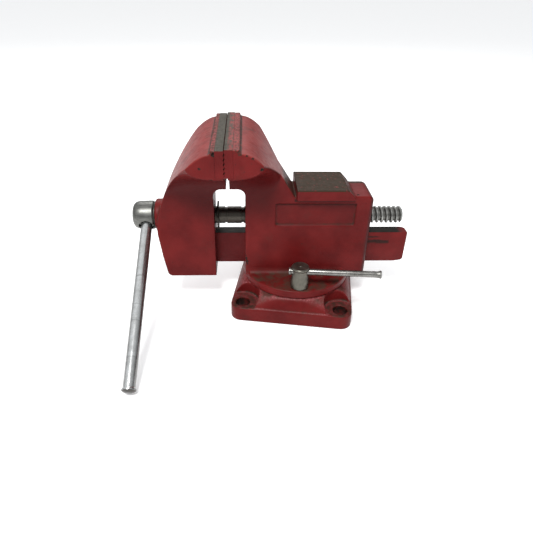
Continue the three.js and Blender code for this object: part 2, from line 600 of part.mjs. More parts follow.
const locks = new THREE.Group();
for (const [place, hand] of [['near', -1], ['far', 1]]) {
  const lock = new THREE.Group();
  lock.position.set(LOCK.x, hand * LOCK.y, 0);
  const bolt = mesh(`lock_bolt_${place}`, lockBolt(), greySteel);
  const turning = new THREE.Group();
  turning.rotation.z = THREE.MathUtils.degToRad(hand * LOCK.barTurn);
  turning.add(mesh(`lock_nut_${place}`, lockNut(), greySteel));
  const bar = mesh(`lock_bar_${place}`, lockBar(), greySteel);
  const cap = mesh(`lock_bar_cap_${place}`, lockBarCap(), greySteel);
  bar.position.z = LOCK.barZ;
  cap.position.z = LOCK.barZ;
  turning.add(bar, cap);
  lock.add(bolt, turning);
  locks.add(lock);
}

const swivelBase = mesh('base', base(), redEnamel);
swivelBase.rotation.z = THREE.MathUtils.degToRad(BASE.turn);

const benchVise = new THREE.Group();
benchVise.add(vise, locks, swivelBase);

export default benchVise;
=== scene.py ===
"""The looks of a 4 inch bench vise: worn red enamel castings, bare steel jaws and zinc-grey fittings.

Lengths in the shape code are millimetres; mm() turns them into the frame's metres. In that code x is
measured from the plane where the closed jaws meet, which the two jaw inserts' boxes give.
"""

import json
import math

import bmesh
import bpy
from mathutils import Matrix, Vector


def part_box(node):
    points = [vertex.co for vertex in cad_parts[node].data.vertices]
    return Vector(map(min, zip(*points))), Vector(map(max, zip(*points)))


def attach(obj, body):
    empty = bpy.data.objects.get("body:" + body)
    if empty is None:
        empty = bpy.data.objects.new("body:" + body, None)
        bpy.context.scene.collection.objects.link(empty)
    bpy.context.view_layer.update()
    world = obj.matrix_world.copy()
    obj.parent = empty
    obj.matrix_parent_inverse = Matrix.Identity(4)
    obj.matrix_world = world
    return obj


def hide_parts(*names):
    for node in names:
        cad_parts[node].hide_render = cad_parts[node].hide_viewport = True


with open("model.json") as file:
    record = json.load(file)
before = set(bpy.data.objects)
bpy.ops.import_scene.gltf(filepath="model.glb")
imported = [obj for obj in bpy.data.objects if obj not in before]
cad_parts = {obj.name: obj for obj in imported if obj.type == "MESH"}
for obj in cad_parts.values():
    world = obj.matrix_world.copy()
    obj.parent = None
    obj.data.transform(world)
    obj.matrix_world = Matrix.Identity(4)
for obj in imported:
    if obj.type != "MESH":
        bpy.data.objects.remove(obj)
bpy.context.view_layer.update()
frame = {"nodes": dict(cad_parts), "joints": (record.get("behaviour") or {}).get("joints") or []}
joints = {joint["name"]: joint for joint in frame["joints"]}

MM = 0.001


def box_mm(node):
    """A CAD node's lowest and highest corners, in millimetres from the jaw plane."""
    return [[(c - s) / MM for c, s in zip(corner, ORIGIN)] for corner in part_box(node)]


JAW_PLANE = (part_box("front_jaw_insert")[1][0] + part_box("rear_jaw_insert")[0][0]) / 2
ORIGIN = (JAW_PLANE, 0.0, 0.0)

# ---------- driving dimensions, from the frame where it holds them ----------
BODY_HIGH = box_mm("body")[1]
JAW_LOW, JAW_HIGH = box_mm("front_jaw")
BASE_TOP = box_mm("base")[1][2]
BAR_LOW, BAR_HIGH = box_mm("slide_bar")
SCREW_LOW, SCREW_HIGH = box_mm("main_screw")
INSERT_LOW = box_mm("front_jaw_insert")[0][2]
SCREW_Z = joints["screw_turn"]["pos_m"][2] / MM
HANDLE_X = joints["screw_turn"]["pos_m"][0] / MM - JAW_PLANE / MM
HANDLE_UP = Vector(joints["handle_slide"]["axis"])
SWIVEL_X = -JAW_PLANE / MM

HEAD_HALF = JAW_HIGH[1]
WALL_HALF = 17.0
HEAD_BOTTOM = 133.6
FLARE = HEAD_HALF - WALL_HALF
FLARE_EXPONENT = 2.3
THROAT_TOP = 113.4
THROAT_ROUND = 7.0
THROAT_FRONT = 11.0
REAR_LIP = 2.5
BODY_FRONT = 15.15
BODY_END = BODY_HIGH[0]
BODY_TOP = 106.0
FLANGE = {"r": 48.24, "low": 24.26, "high": 31.84}
ANVIL = {"x0": 57.6, "x1": 99.5, "foot": 106.3, "half": 21.4, "top": 113.1, "under": 103.2}
PANEL = {"x0": 40.5, "x1": 108.7, "z0": 78.7, "z1": 99.2, "r": 2.0, "deep": 1.3}
INSERT_THICK = 6.6
INSERT_GAP = 0.12
SCREW_R = 7.4
ROOT_R = 5.5
PITCH = 25.4 / 6
THREAD_START = 16.0

FRONT_HEAD = {
    "back": [(9.8, 153.2), (26, 152.8), (55.8, 113), (59.9, 75)],
    "rib": 9.85,
    "top": JAW_HIGH[2],
    "tip_end": 0.31,
    "tip_wall": 0.71,
}
REAR_HEAD = {
    "back": [(11.6, 154.2), (27, 153.5), (38, 134), (56.5, 105.5)],
    "rib": 11.49,
    "top": BODY_HIGH[2],
    "tip_end": 0.40,
    "tip_wall": 0.74,
}


# ---------- mesh building ----------
def mm_x(*places):
    """Places along X in millimetres from the jaw plane, in metres of the frame."""
    return [place * MM + ORIGIN[0] for place in places]


def mm(point):
    """A point in millimetres from the jaw plane, as a point of the frame in metres."""
    return tuple(p * MM + o for p, o in zip(point, ORIGIN))


def new_piece(name, points, faces):
    mesh = bpy.data.meshes.new(name)
    mesh.from_pydata([mm(p) for p in points], [], faces)
    piece = bpy.data.objects.new(name, mesh)
    bpy.context.scene.collection.objects.link(piece)
    work = bmesh.new()
    work.from_mesh(mesh)
    bmesh.ops.recalc_face_normals(work, faces=work.faces)
    work.to_mesh(mesh)
    work.free()
    return piece


def loft(name, sections):
    """A closed skin through sections of equal point counts, with a flat face at each end."""
    count = len(sections[0])
    points = [p for section in sections for p in section]
    faces = [list(range(count))[::-1], [len(points) - count + i for i in range(count)]]
    for s in range(len(sections) - 1):
        for i in range(count):
            a, b = s * count + i, s * count + (i + 1) % count
            faces.append([a, b, b + count, a + count])
    return new_piece(name, points, faces)


def prism(name, outline, y0, y1):
    """An outline of (x, z) points drawn out from y0 to y1."""
    return loft(name, [[(x, y, z) for x, z in outline] for y in (y0, y1)])


def slab(name, outline, z0, z1):
    """An outline of (x, y) points raised from z0 to z1."""
    return loft(name, [[(x, y, z) for x, y in outline] for z in (z0, z1)])


def block(name, x, y, z):
    return prism(name, [(x[0], z[0]), (x[1], z[0]), (x[1], z[1]), (x[0], z[1])], *y)


def turned(name, profile, origin, axis, segments=96, closed=False):
    """A solid of revolution from (radius, distance along the axis) pairs. An open profile starts and
    ends on the axis; a closed one is a ring."""
    axis = Vector(axis).normalized()
    side = axis.orthogonal().normalized()
    other = axis.cross(side)
    points, rows = [], []
    for r, along in profile:
        centre = Vector(origin) + axis * along
        if r < 1e-6:
            rows.append([len(points)] * segments)
            points.append(centre)
            continue
        rows.append([len(points) + i for i in range(segments)])
        for i in range(segments):
            angle = 2 * math.pi * i / segments
            points.append(centre + (side * math.cos(angle) + other * math.sin(angle)) * r)
    pairs = list(zip(rows, rows[1:] + rows[:1])) if closed else list(zip(rows, rows[1:]))
    faces = []
    for near, far in pairs:
        for i in range(segments):
            j = (i + 1) % segments
            ring = [near[i], near[j], far[j], far[i]]
            faces.append(list(dict.fromkeys(ring)))
    return new_piece(name, points, [f for f in faces if len(f) > 2])


def rounded(profile, radius, steps=4):
    """A profile with every corner between its two ends rounded off by a small curve."""
    result = [profile[0]]
    for before, corner, after in zip(profile, profile[1:], profile[2:]):
        c = Vector(corner)
        to_a, to_b = Vector(before) - c, Vector(after) - c
        reach = min(radius, to_a.length * 0.45, to_b.length * 0.45)
        a, b = c + to_a.normalized() * reach, c + to_b.normalized() * reach
        for i in range(steps + 1):
            t = i / steps
            result.append(tuple(a * (1 - t) ** 2 + c * 2 * t * (1 - t) + b * t * t))
    return result + [profile[-1]]


def rod(name, r, origin, axis, low, high, segments=64):
    return turned(name, [(0, low), (r, low), (r, high), (0, high)], origin, axis, segments)


def arc(cx, cy, r, start, end, steps=10):
    angles = [math.radians(start + (end - start) * i / steps) for i in range(steps + 1)]
    return [(cx + r * math.cos(a), cy + r * math.sin(a)) for a in angles]


def rounded_rectangle(x0, x1, y0, y1, r, steps=8):
    return (
        arc(x1 - r, y0 + r, r, -90, 0, steps)
        + arc(x1 - r, y1 - r, r, 0, 90, steps)
        + arc(x0 + r, y1 - r, r, 90, 180, steps)
        + arc(x0 + r, y0 + r, r, 180, 270, steps)
    )


def bezier(p, t):
    s = 1 - t
    weights = (s**3, 3 * s * s * t, 3 * s * t * t, t**3)
    return tuple(sum(w * q[i] for w, q in zip(weights, p)) for i in (0, 1))


def apply_modifiers(piece):
    """Bakes a piece's modifiers into its mesh."""
    graph = bpy.context.evaluated_depsgraph_get()
    mesh = bpy.data.meshes.new_from_object(piece.evaluated_get(graph))
    piece.modifiers.clear()
    old, piece.data = piece.data, mesh
    bpy.data.meshes.remove(old)
    return piece


def combine(piece, others, operation):
    for other in others:
        step = piece.modifiers.new("combine", "BOOLEAN")
        step.operation = operation
        step.solver = "MANIFOLD"
        step.object = other
    apply_modifiers(piece)
    for other in others:
        bpy.data.objects.remove(other)
    return piece


def fuse(piece, *others):
    return combine(piece, others, "UNION")


def cut(piece, *tools):
    return combine(piece, tools, "DIFFERENCE")


def bevel(piece, width, angle=40, segments=3):
    step = piece.modifiers.new("bevel", "BEVEL")
    step.width = width * MM
    step.segments = segments
    step.limit_method = "ANGLE"
    step.angle_limit = math.radians(angle)
    return apply_modifiers(piece)


def cast(piece, voxel, rounds):
    """Gives a casting its soft edges: a fine even skin, smoothed over a few rounds."""
    step = piece.modifiers.new("skin", "REMESH")
    step.mode = "VOXEL"
    step.voxel_size = voxel * MM
    apply_modifiers(piece)
    step = piece.modifiers.new("soften", "SMOOTH")
    step.factor = 0.5
    step.iterations = rounds
    return apply_modifiers(piece)


def finish_piece(piece, material, body, node, sharp=38):
    """Shades a piece, gives it its material, ties it to its body, and hides the CAD node it replaces."""
    for polygon in piece.data.polygons:
        polygon.use_smooth = True
    piece.data.set_sharp_from_angle(angle=math.radians(sharp))
    piece.data.materials.clear()
    piece.data.materials.append(material)
    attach(piece, body)
    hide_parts(node)


# ---------- materials ----------
class Nodes:
    """A thin helper to lay out one material's node tree."""

    def __init__(self, name):
        self.material = bpy.data.materials.new(name)
        self.material.use_nodes = True
        self.tree = self.material.node_tree
        self.shader = self.tree.nodes["Principled BSDF"]
        self.place = self.add("ShaderNodeTexCoord").outputs["Object"]

    def add(self, kind, **values):
        node = self.tree.nodes.new(kind)
        for key, value in values.items():
            setattr(node, key, value)
        return node

    def link(self, source, target):
        self.tree.links.new(source, target)

    def feed(self, socket, value):
        if isinstance(value, bpy.types.NodeSocket):
            self.link(value, socket)
        else:
            socket.default_value = value

    def stretched(self, scale):
        mapping = self.add("ShaderNodeMapping")
        self.link(self.place, mapping.inputs["Vector"])
        mapping.inputs["Scale"].default_value = scale
        return mapping.outputs["Vector"]

    def noise(self, size, detail=4, rough=0.55, vector=None):
        """Noise whose features are about size millimetres wide."""
        node = self.add("ShaderNodeTexNoise")
        self.link(vector or self.place, node.inputs["Vector"])
        node.inputs["Scale"].default_value = 1 / (size * MM)
        node.inputs["Detail"].default_value = detail
        node.inputs["Roughness"].default_value = rough
        return node.outputs["Fac"]

    def ramp(self, value, low, high, to_low=0.0, to_high=1.0):
        node = self.add("ShaderNodeMapRange")
        self.feed(node.inputs["Value"], value)
        node.inputs["From Min"].default_value = low
        node.inputs["From Max"].default_value = high
        node.inputs["To Min"].default_value = to_low
        node.inputs["To Max"].default_value = to_high
        return node.outputs["Result"]

    def math(self, operation, a, b=0.0):
        node = self.add("ShaderNodeMath", operation=operation)
        self.feed(node.inputs[0], a)
        self.feed(node.inputs[1], b)
        return node.outputs[0]

    def times(self, a, b):
        return self.math("MULTIPLY", a, b)

    def mix(self, amount, a, b):
        node = self.add("ShaderNodeMix", data_type="RGBA")
        self.feed(node.inputs["Factor"], amount)
        self.feed(node.inputs[6], a if isinstance(a, bpy.types.NodeSocket) else (*a, 1.0))
        self.feed(node.inputs[7], b if isinstance(b, bpy.types.NodeSocket) else (*b, 1.0))
        return node.outputs[2]

    def zone(self, low, high, soft):
        """1 inside a box given in millimetres from the jaw plane, falling to 0 over soft outside it."""
        mask = 1.0
        for letter, a, b, origin in zip("XYZ", low, high, ORIGIN):
            place = self.axis(letter)
            a, b, s = a * MM + origin, b * MM + origin, soft * MM
            for edge, outside in ((a, a - s), (b, b + s)):
                mask = self.times(mask, self.ramp(place, outside, edge))
        return mask

    def near(self, point, radius):
        """1 within radius millimetres of a point, with a ragged outline."""
        node = self.add("ShaderNodeVectorMath", operation="DISTANCE")
        self.link(self.place, node.inputs[0])
        node.inputs[1].default_value = mm(point)
        ragged = self.times(self.math("SUBTRACT", self.noise(1.2, 3, 0.6), 0.5), 2.5 * MM)
        off = self.math("ADD", node.outputs["Value"], ragged)
        return self.ramp(off, (radius + 0.25) * MM, (radius - 0.15) * MM)

    def pointiness(self):
        return self.add("ShaderNodeNewGeometry").outputs["Pointiness"]

    def axis(self, letter):
        parts = self.add("ShaderNodeSeparateXYZ")
        self.link(self.place, parts.inputs[0])
        return parts.outputs[letter]

    def facing(self, letter):
        parts = self.add("ShaderNodeSeparateXYZ")
        self.link(self.add("ShaderNodeTexCoord").outputs["Normal"], parts.inputs[0])
        return parts.outputs[letter]

    def bump(self, height, distance, strength=1.0):
        node = self.add("ShaderNodeBump")
        node.inputs["Distance"].default_value = distance * MM
        node.inputs["Strength"].default_value = strength
        self.feed(node.inputs["Height"], height)
        self.link(node.outputs["Normal"], self.shader.inputs["Normal"])

    def finish(self, color, roughness, metallic):
        self.feed(self.shader.inputs["Base Color"], color)
        self.feed(self.shader.inputs["Roughness"], roughness)
        self.feed(self.shader.inputs["Metallic"], metallic)
        return self.material


# SHEEN_RED is a painted sheen: a lighter red laid on the jaws' upward-facing surfaces in place of the
# overhead light's reflection.
DEEP_RED, RED, SHEEN_RED = (0.088, 0.0050, 0.0052), (0.132, 0.0090, 0.0088), (0.240, 0.043, 0.039)
SOIL, IRON, TARNISH = (0.034, 0.020, 0.014), (0.020, 0.015, 0.012), (0.036, 0.024, 0.015)


def paint_colors(n):
    """The enamel's colour: darker and brighter areas, and a painted sheen that lightens the jaws where the
    paint faces up.
    """
    color = n.mix(n.ramp(n.noise(26, 3), 0.36, 0.66), DEEP_RED, RED)
    # Painted sheen: upward-facing surfaces high on the jaws are lightened towards SHEEN_RED.
    upward = n.times(n.ramp(n.facing("Z"), 0.1, 0.6), n.ramp(n.axis("Z"), 0.104, 0.125))
    return n.mix(n.times(upward, n.ramp(n.noise(14, 4), 0.3, 0.7, 0.35, 0.95)), color, SHEEN_RED)


def enamel(name, zones=(), wear=1.0, grime=1.0):
    """Old red enamel over cast iron: lightened by a painted sheen where the jaws face up, grimy in the
    hollows, chipped on the edges.
    A zone is a function that gives the mask of one area, with its colour, strength and bareness."""
    n = Nodes(name)
    color = paint_colors(n)
    color = n.mix(n.ramp(n.noise(1.3, 3, 0.7), 0.60, 0.74, 0, 0.30), color, SOIL)
    hollow = n.ramp(n.pointiness(), 0.498, 0.470)
    hollow = n.times(hollow, n.ramp(n.noise(9, 5, 0.65), 0.36, 0.60, 0, 0.9 * grime))
    color = n.mix(hollow, color, SOIL)
    upward = n.ramp(n.facing("Z"), 0.5, 0.9, 0.25, 1.0)
    patches = n.times(n.ramp(n.noise(18, 6, 0.7), 0.56, 0.68, 0, 0.6 * grime), upward)
    color = n.mix(patches, color, SOIL)
    edge = n.ramp(n.pointiness(), 0.525, 0.56)
    edge = n.times(edge, n.ramp(n.noise(3.2, 5, 0.65), 0.57, 0.64))
    chips = n.ramp(n.noise(4.5, 6, 0.62), 0.715, 0.73)
    bare = n.math("MINIMUM", n.times(n.math("MAXIMUM", edge, chips), wear), 1.0)
    color = n.mix(bare, color, IRON)
    for area, tint, bareness in zones:
        mask = area(n)
        color = n.mix(mask, color, tint)
        bare = n.math("MAXIMUM", bare, n.times(mask, bareness))
    rough = n.ramp(n.noise(4, 4), 0.3, 0.7, 0.34, 0.48)
    rough = n.math("ADD", rough, n.times(n.math("MAXIMUM", hollow, bare), 0.2))
    grain = n.times(n.noise(2.6, 3), 0.75)
    height = n.math("ADD", grain, n.times(n.noise(0.7, 2), 0.18))
    height = n.math("SUBTRACT", height, n.times(bare, 0.4))
    n.bump(height, 0.17)
    n.shader.inputs["Specular IOR Level"].default_value = 0.11
    return n.finish(color, rough, n.times(bare, 0.3))


FRONT_PITS = [((-7.3, -51.2, 153.4), 1.5), ((-17.8, -51.5, 142.9), 1.0), ((-9.5, -51.3, 133.6), 1.0),
              ((-38.0, 11.0, 137.5), 0.8), ((-30.5, -39.0, 147.3), 0.8), ((-58.9, -17.2, 58.0), 0.6)]
REAR_PITS = [((27.6, -51.1, 142.0), 1.2), ((21.0, -51.4, 150.4), 0.9), ((16.5, -51.3, 152.6), 0.6),
             ((109.5, -13.5, 106.4), 1.0), ((122.4, -17.3, 57.5), 0.9), ((121.9, -17.4, 49.0), 0.8),
             ((14.8, -17.3, 49.4), 1.0), ((15.6, -17.6, 46.6), 1.3), ((16.6, -17.7, 43.6), 1.1),
             ((17.0, -17.9, 41.2), 1.0), ((27.5, -44.0, 143.8), 0.7)]


def chips(pits):
    """Bare, dark iron in and around each dent."""
    def area(n):
        mask = 0.0
        for place, radius in pits:
            mask = n.math("MAXIMUM", mask, n.near(place, radius + 0.25))
        return mask
    return area


def painted_shade_below_jaws(n):
    """Painted shade on the walls under the jaws' overhang."""
    area = n.zone((-70.0, -28.0, 108.0), (30.0, 28.0, 134.0), 30)
    side = n.ramp(n.math("ABSOLUTE", n.axis("Y")), 0.045, 0.030)
    under = n.ramp(n.facing("Z"), 0.35, 0.0)
    return n.times(n.times(area, side), n.times(under, 0.75))


def anvil_top(n):
    """The anvil's hammered top face, bare of paint up to a ragged edge."""
    half = ANVIL["half"] + 1
    area = n.zone((ANVIL["x0"] - 1, -half, ANVIL["top"] - 0.9), (106.0, half, 120.0), 0.35)
    sloped = n.times(n.zone((98.0, -19.0, 107.0), (104.5, 22.0, 114.0), 1.5), n.facing("Z"))
    ragged = n.ramp(n.noise(2.5, 4, 0.6), 0.32, 0.40)
    return n.times(n.math("MAXIMUM", area, sloped), ragged)


def behind_jaw(n):
    """Oily dirt in the valley between the fixed jaw and the anvil."""
    area = n.times(n.zone((44.0, -18.5, 103.0), (58.2, 18.5, 118.0), 4),
                   n.ramp(n.facing("Z"), 0.15, 0.45))
    return n.times(area, n.ramp(n.noise(3.5, 5, 0.7), 0.38, 0.52, 0.3, 0.95))


def body_top_edge(n):
    """A dark line of dirt along the far edge of the body's top, right of the anvil."""
    area = n.zone((103.0, 12.5, 103.5), (119.0, 19.0, 109.0), 2.0)
    return n.times(area, n.ramp(n.noise(4, 4, 0.65), 0.30, 0.46, 0.2, 0.95))


def painted_shade_body_end(n):
    """Painted shade on the surfaces that face +X round the rear end of the body."""
    area = n.ramp(n.axis("X"), *mm_x(117.5, 120.5))
    return n.times(area, n.ramp(n.facing("X"), 0.1, 0.5, 0, 0.8))


def painted_shade_under_anvil(n):
    """Painted shade in the corner under the anvil's overhang."""
    area = n.zone((ANVIL["x0"] - 1, -ANVIL["half"], 101.6), (ANVIL["foot"], -16.0, ANVIL["under"] + 0.2), 0.8)
    return n.times(area, 0.9)


def hole_dirt_and_shade(reach, strength):
    """Dirt round the base's bolt holes at a wide reach; at a narrow reach, painted shade inside them."""
    at = MOUNT_HOLE["at"]

    def area(n):
        mask = 0.0
        for x, y in ((-at, -at), (at, -at), (-at, at), (at, at)):
            centre = (*on_base(x, y), MOUNT_HOLE["pad_z"] - 4.5)
            mask = n.math("MAXIMUM", mask, n.near(centre, reach))
        if reach > MOUNT_HOLE["r"] + 2:
            mask = n.times(mask, n.ramp(n.facing("Z"), 0.3, 0.7))
        ragged = n.ramp(n.noise(6, 5, 0.65), 0.36, 0.56, 0.2, 1.0)
        return n.times(mask, n.times(ragged, strength))
    return area


def panel_shade(n):
    """Painted shade in the recessed panel, strongest along its upper edge."""
    area = n.zone((PANEL["x0"], -16.9, PANEL["z0"]), (PANEL["x1"], -15.0, PANEL["z1"]), 0.3)
    corner = n.ramp(n.axis("Z"), (PANEL["z1"] - 2.6) * MM, (PANEL["z1"] - 0.4) * MM, 0.15, 0.85)
    return n.times(area, corner)


def painted_glints(n):
    """Painted glints: lighter flecks on the base's upward-facing sloping top, standing in for highlights off
    its coarse, shiny sand-cast paint.
    """
    area = n.times(n.ramp(n.facing("Z"), 0.55, 0.8), n.ramp(n.axis("Z"), 0.0120, 0.0140))
    grain = n.math("ADD", n.ramp(n.noise(1.5, 4, 0.7), 0.45, 0.66, 0, 0.75), 0.15)
    return n.times(area, grain)


def flange_dirt(n):
    """Brown dirt that has settled on the round flange round the lock nuts."""
    top = n.zone((0.0, -50.0, FLANGE["high"] - 1.2), (125.0, 50.0, FLANGE["high"] + 3.0), 0.8)
    top = n.times(top, n.ramp(n.facing("Z"), 0.5, 0.9))
    return n.times(top, n.ramp(n.noise(9, 6, 0.68), 0.42, 0.60, 0, 0.85))


def worn_rear_rib(n):
    """Brown hammer marks in the paint of the fixed jaw's upper edge."""
    area = n.zone((6.0, -52.0, 154.6), (REAR_HEAD["rib"] + 1, 52.0, 158.0), 0.5)
    return n.times(area, n.ramp(n.noise(1.7, 4, 0.6), 0.50, 0.58, 0, 0.9))


def rib_foot(side, rib, top):
    """A dark, part-bare line along the foot of a jaw's upper edge."""
    def area(n):
        x = (rib - 0.9, rib + 1.3) if side > 0 else (-rib - 1.3, -rib + 0.9)
        line = n.zone((x[0], -52.0, top - 3.8), (x[1], 52.0, top - 0.9), 0.5)
        return n.times(line, n.ramp(n.noise(5, 4, 0.65), 0.36, 0.52, 0.15, 0.9))
    return area


def front_rib_top(n):
    """Paint worn off in places on the moving jaw's upper edge."""
    area = n.zone((-FRONT_HEAD["rib"] - 0.5, -52.0, JAW_HIGH[2] - 0.8), (-6.0, 52.0, 158.0), 0.4)
    return n.times(area, n.ramp(n.noise(3.0, 4, 0.65), 0.48, 0.56, 0, 0.85))


def base_dirt(n):
    """Dirt on the base's upper faces and in its bolt pads."""
    area = n.zone((0.0, -75.0, BASE["edge"] - 1.0), (130.0, 75.0, BASE_TOP + 0.5), 1.0)
    area = n.times(area, n.ramp(n.facing("Z"), 0.4, 0.9))
    return n.times(area, n.ramp(n.noise(12, 6, 0.7), 0.49, 0.60, 0, 0.8))


def bar_top(n):
    """The slide bar's upper face, worn bare and black with oil."""
    return n.times(n.ramp(n.facing("Z"), 0.55, 0.85), n.ramp(n.axis("X"), *mm_x(157.0, 152.0)))


def bar_scratches(n):
    """Dark rubbed marks on the side of the slide bar behind the body."""
    area = n.zone((115.0, -6.0, 55.5), (144.0, -5.0, 61.5), 1.6)
    return n.times(area, n.ramp(n.noise(2.2, 5, 0.6, n.stretched((0.16, 1, 1))), 0.46, 0.56, 0, 0.85))


def bar_in_throat(n):
    """The bar darker red near the moving jaw, where it runs in the throat."""
    return n.times(n.ramp(n.axis("X"), *mm_x(20.0, 12.0)), 0.5)


def steel(name, light, dark, rough=(0.25, 0.45), along=(1, 1, 1), stain=0.5, marks=None):
    """Worn steel. along stretches its fine scratches; marks adds one piece's own wear."""
    n = Nodes(name)
    color = n.mix(n.ramp(n.noise(7, 5, 0.6), 0.35, 0.65), light, dark)
    blotch = n.ramp(n.noise(3.0, 6, 0.7), 0.56, 0.70, 0, stain)
    color = n.mix(blotch, color, tuple(c * 0.32 for c in dark))
    scratch = n.noise(0.6, 3, 0.6, n.stretched(along))
    color = n.mix(n.ramp(scratch, 0.55, 0.75, 0, 0.35), color, tuple(c * 0.5 for c in dark))
    roughness = n.ramp(n.noise(5, 4), 0.3, 0.7, *rough)
    roughness = n.math("ADD", roughness, n.times(blotch, 0.2))
    height = n.math("ADD", n.times(scratch, 0.5), n.times(n.noise(1.6, 4), 0.6))
    if marks:
        color = marks(n, color)
    n.bump(height, 0.03)
    return n.finish(color, roughness, 0.92)


def handle_rings_and_side_shade(n, color):
    """Faint dark bands where the handle has rested in its hub, painted shade down its sides that face along
    X, and its rough, dark end.
    """
    along = n.math("DIVIDE", n.axis("Y"), HANDLE_UP.y)
    for place, width in ((-0.0635, 0.0011), (-0.0880, 0.0007), (-0.1015, 0.0008), (-0.1300, 0.0009)):
        off = n.math("ABSOLUTE", n.math("SUBTRACT", along, place))
        color = n.mix(n.ramp(off, width, 0.0, 0, 0.28), color, (0.06, 0.055, 0.05))
    # Painted shade: darker grey where the handle's surface faces along X.
    side = n.ramp(n.math("ABSOLUTE", n.facing("X")), 0.55, 0.95, 0, 0.8)
    color = n.mix(side, color, (0.10, 0.10, 0.095))
    end = n.math("ADD", n.times(n.axis("Y"), HANDLE_UP.y),
                 n.times(n.math("SUBTRACT", n.axis("Z"), SCREW_Z * MM), HANDLE_UP.z))
    return n.mix(n.ramp(end, -0.1512, -0.1520), color, (0.075, 0.070, 0.065))


def screw_wear_and_shade(n, color):
    """A brushed hub, a shank darkened partly for oil and partly as painted shade under the jaws, and dirt
    down in the thread.
    """
    out = n.math("POWER", n.axis("Y"), 2.0)
    up = n.math("POWER", n.math("SUBTRACT", n.axis("Z"), SCREW_Z * MM), 2.0)
    radius = n.math("SQRT", n.math("ADD", out, up))
    root = n.times(n.ramp(radius, (SCREW_R - 0.2) * MM, (ROOT_R + 0.2) * MM),
                   n.ramp(n.axis("X"), *mm_x(THREAD_START, THREAD_START + 1)))
    color = n.mix(n.times(root, 0.6), color, (0.060, 0.055, 0.048))
    hub = n.ramp(n.axis("X"), *mm_x(-63.0, -64.0))
    brushed = n.ramp(n.noise(1.4, 4, 0.6, n.stretched((0.2, 1, 1))), 0.35, 0.7)
    color = n.mix(n.times(hub, 0.9), color, n.mix(brushed, (0.15, 0.15, 0.14), (0.085, 0.085, 0.078)))
    # The shank's dark colour is partly oil and partly painted shade under the jaws.
    shank = n.times(n.ramp(n.axis("X"), *mm_x(-63.6, -63.2)), n.ramp(n.axis("X"), *mm_x(30.0, 18.0)))
    return n.mix(n.times(shank, 0.93), color, (0.045, 0.038, 0.030))


def jaw_plate(name, rear):
    """Jaw inserts: bare, tarnished tops and gripping faces, with enamel left on their ends. The rear
    one keeps scraped paint over most of its top."""
    n = Nodes(name)
    streak = n.noise(1.1, 4, 0.6, n.stretched((1, 0.12, 1)))
    metal = n.mix(n.ramp(streak, 0.35, 0.68), (0.050, 0.043, 0.029), (0.028, 0.023, 0.015))
    metal = n.mix(n.ramp(n.noise(6, 5, 0.65), 0.52, 0.70, 0, 0.6), metal, (0.016, 0.012, 0.009))
    painted = n.ramp(n.math("ABSOLUTE", n.facing("Y")), 0.5, 0.6)
    if rear:
        scraped = n.ramp(n.noise(1.9, 5, 0.62, n.stretched((1, 0.55, 1))), 0.56, 0.47, 0, 0.95)
        top = n.times(n.ramp(n.facing("Z"), 0.6, 0.8), n.ramp(n.axis("X"), *mm_x(2.0, 3.6)))
        painted = n.math("MAXIMUM", painted, n.times(top, scraped))
    color = n.mix(painted, metal, paint_colors(n))
    n.bump(n.math("ADD", streak, n.times(n.noise(1.2, 4), 0.6)), 0.06)
    n.shader.inputs["Specular IOR Level"].default_value = 0.12
    metallic = n.times(n.math("SUBTRACT", 1.0, painted), 0.2)
    return n.finish(color, n.ramp(n.noise(3, 4), 0.3, 0.7, 0.40, 0.56), metallic)


# ---------- castings ----------
def head_outline(head, inward, back_points=28, under_points=22):
    """The head's outline in distance from the jaw plane and height, inward from its end (0 to 1)."""
    low = HEAD_BOTTOM - FLARE * (1 - math.sqrt(max(0.0, 1 - inward * inward)))
    tip_at = head["tip_end"] + (head["tip_wall"] - head["tip_end"]) * inward
    tip = bezier(head["back"], tip_at)
    foot = 4.0
    points = [(0.0, low), (0.0, head["top"]), (head["rib"], head["top"])]
    points += [bezier(head["back"], tip_at * i / back_points) for i in range(back_points + 1)]
    for i in range(1, under_points + 1):
        angle = math.pi / 2 * i / under_points
        across = max(0.0, math.cos(angle)) ** (2 / FLARE_EXPONENT)
        down = math.sin(angle) ** (2 / FLARE_EXPONENT)
        points.append((foot + (tip[0] - foot) * across, tip[1] - (tip[1] - low) * down))
    return points


def wing(name, head, side, hand, stations=26):
    sections = []
    for i in range(stations + 1):
        inward = math.sin(math.pi / 2 * i / stations)
        y = hand * (HEAD_HALF - FLARE * inward)
        sections.append([(side * u, y, z) for u, z in head_outline(head, inward)])
    sections.append([(x, hand * 8.0, z) for x, _, z in sections[-1]])
    return loft(name, sections)


def throat(side, depth, low):
    """The open space under the jaws' lips."""
    top, r = THROAT_TOP, THROAT_ROUND
    corner = [(side * x, z) for x, z in arc(depth - r, top - r, r, 90, 0)]
    outline = [(-side * 1.0, low), (-side * 1.0, top), *corner, (side * depth, low)]
    return prism("throat", outline, -HEAD_HALF - 1, HEAD_HALF + 1)


def insert_pocket(side, top):
    back = INSERT_THICK + INSERT_GAP
    x = (-back, 1.0) if side < 0 else (-1.0, back)
    y = (-HEAD_HALF - 1, HEAD_HALF + 1)
    return block("pocket", x, y, (INSERT_LOW - INSERT_GAP, top + 1))


def lip_gap(side, width):
    x = (-width, 1.0) if side < 0 else (-1.0, width)
    return block("lip_gap", x, (-HEAD_HALF - 1, HEAD_HALF + 1), (90.0, INSERT_LOW))


def back_curve(head, side, steps=40):
    return [(side * u, z) for u, z in (bezier(head["back"], i / steps) for i in range(steps + 1))]


def pit(place, r):
    """A small dent's tool: a ball that bites into the surface at a place."""
    profile = [(r * math.sin(math.pi * i / 8), -r * math.cos(math.pi * i / 8)) for i in range(9)]
    profile[0], profile[-1] = (0, -r), (0, r)
    return turned("pit", profile, place, (0.3, 1, 0.2), 14)


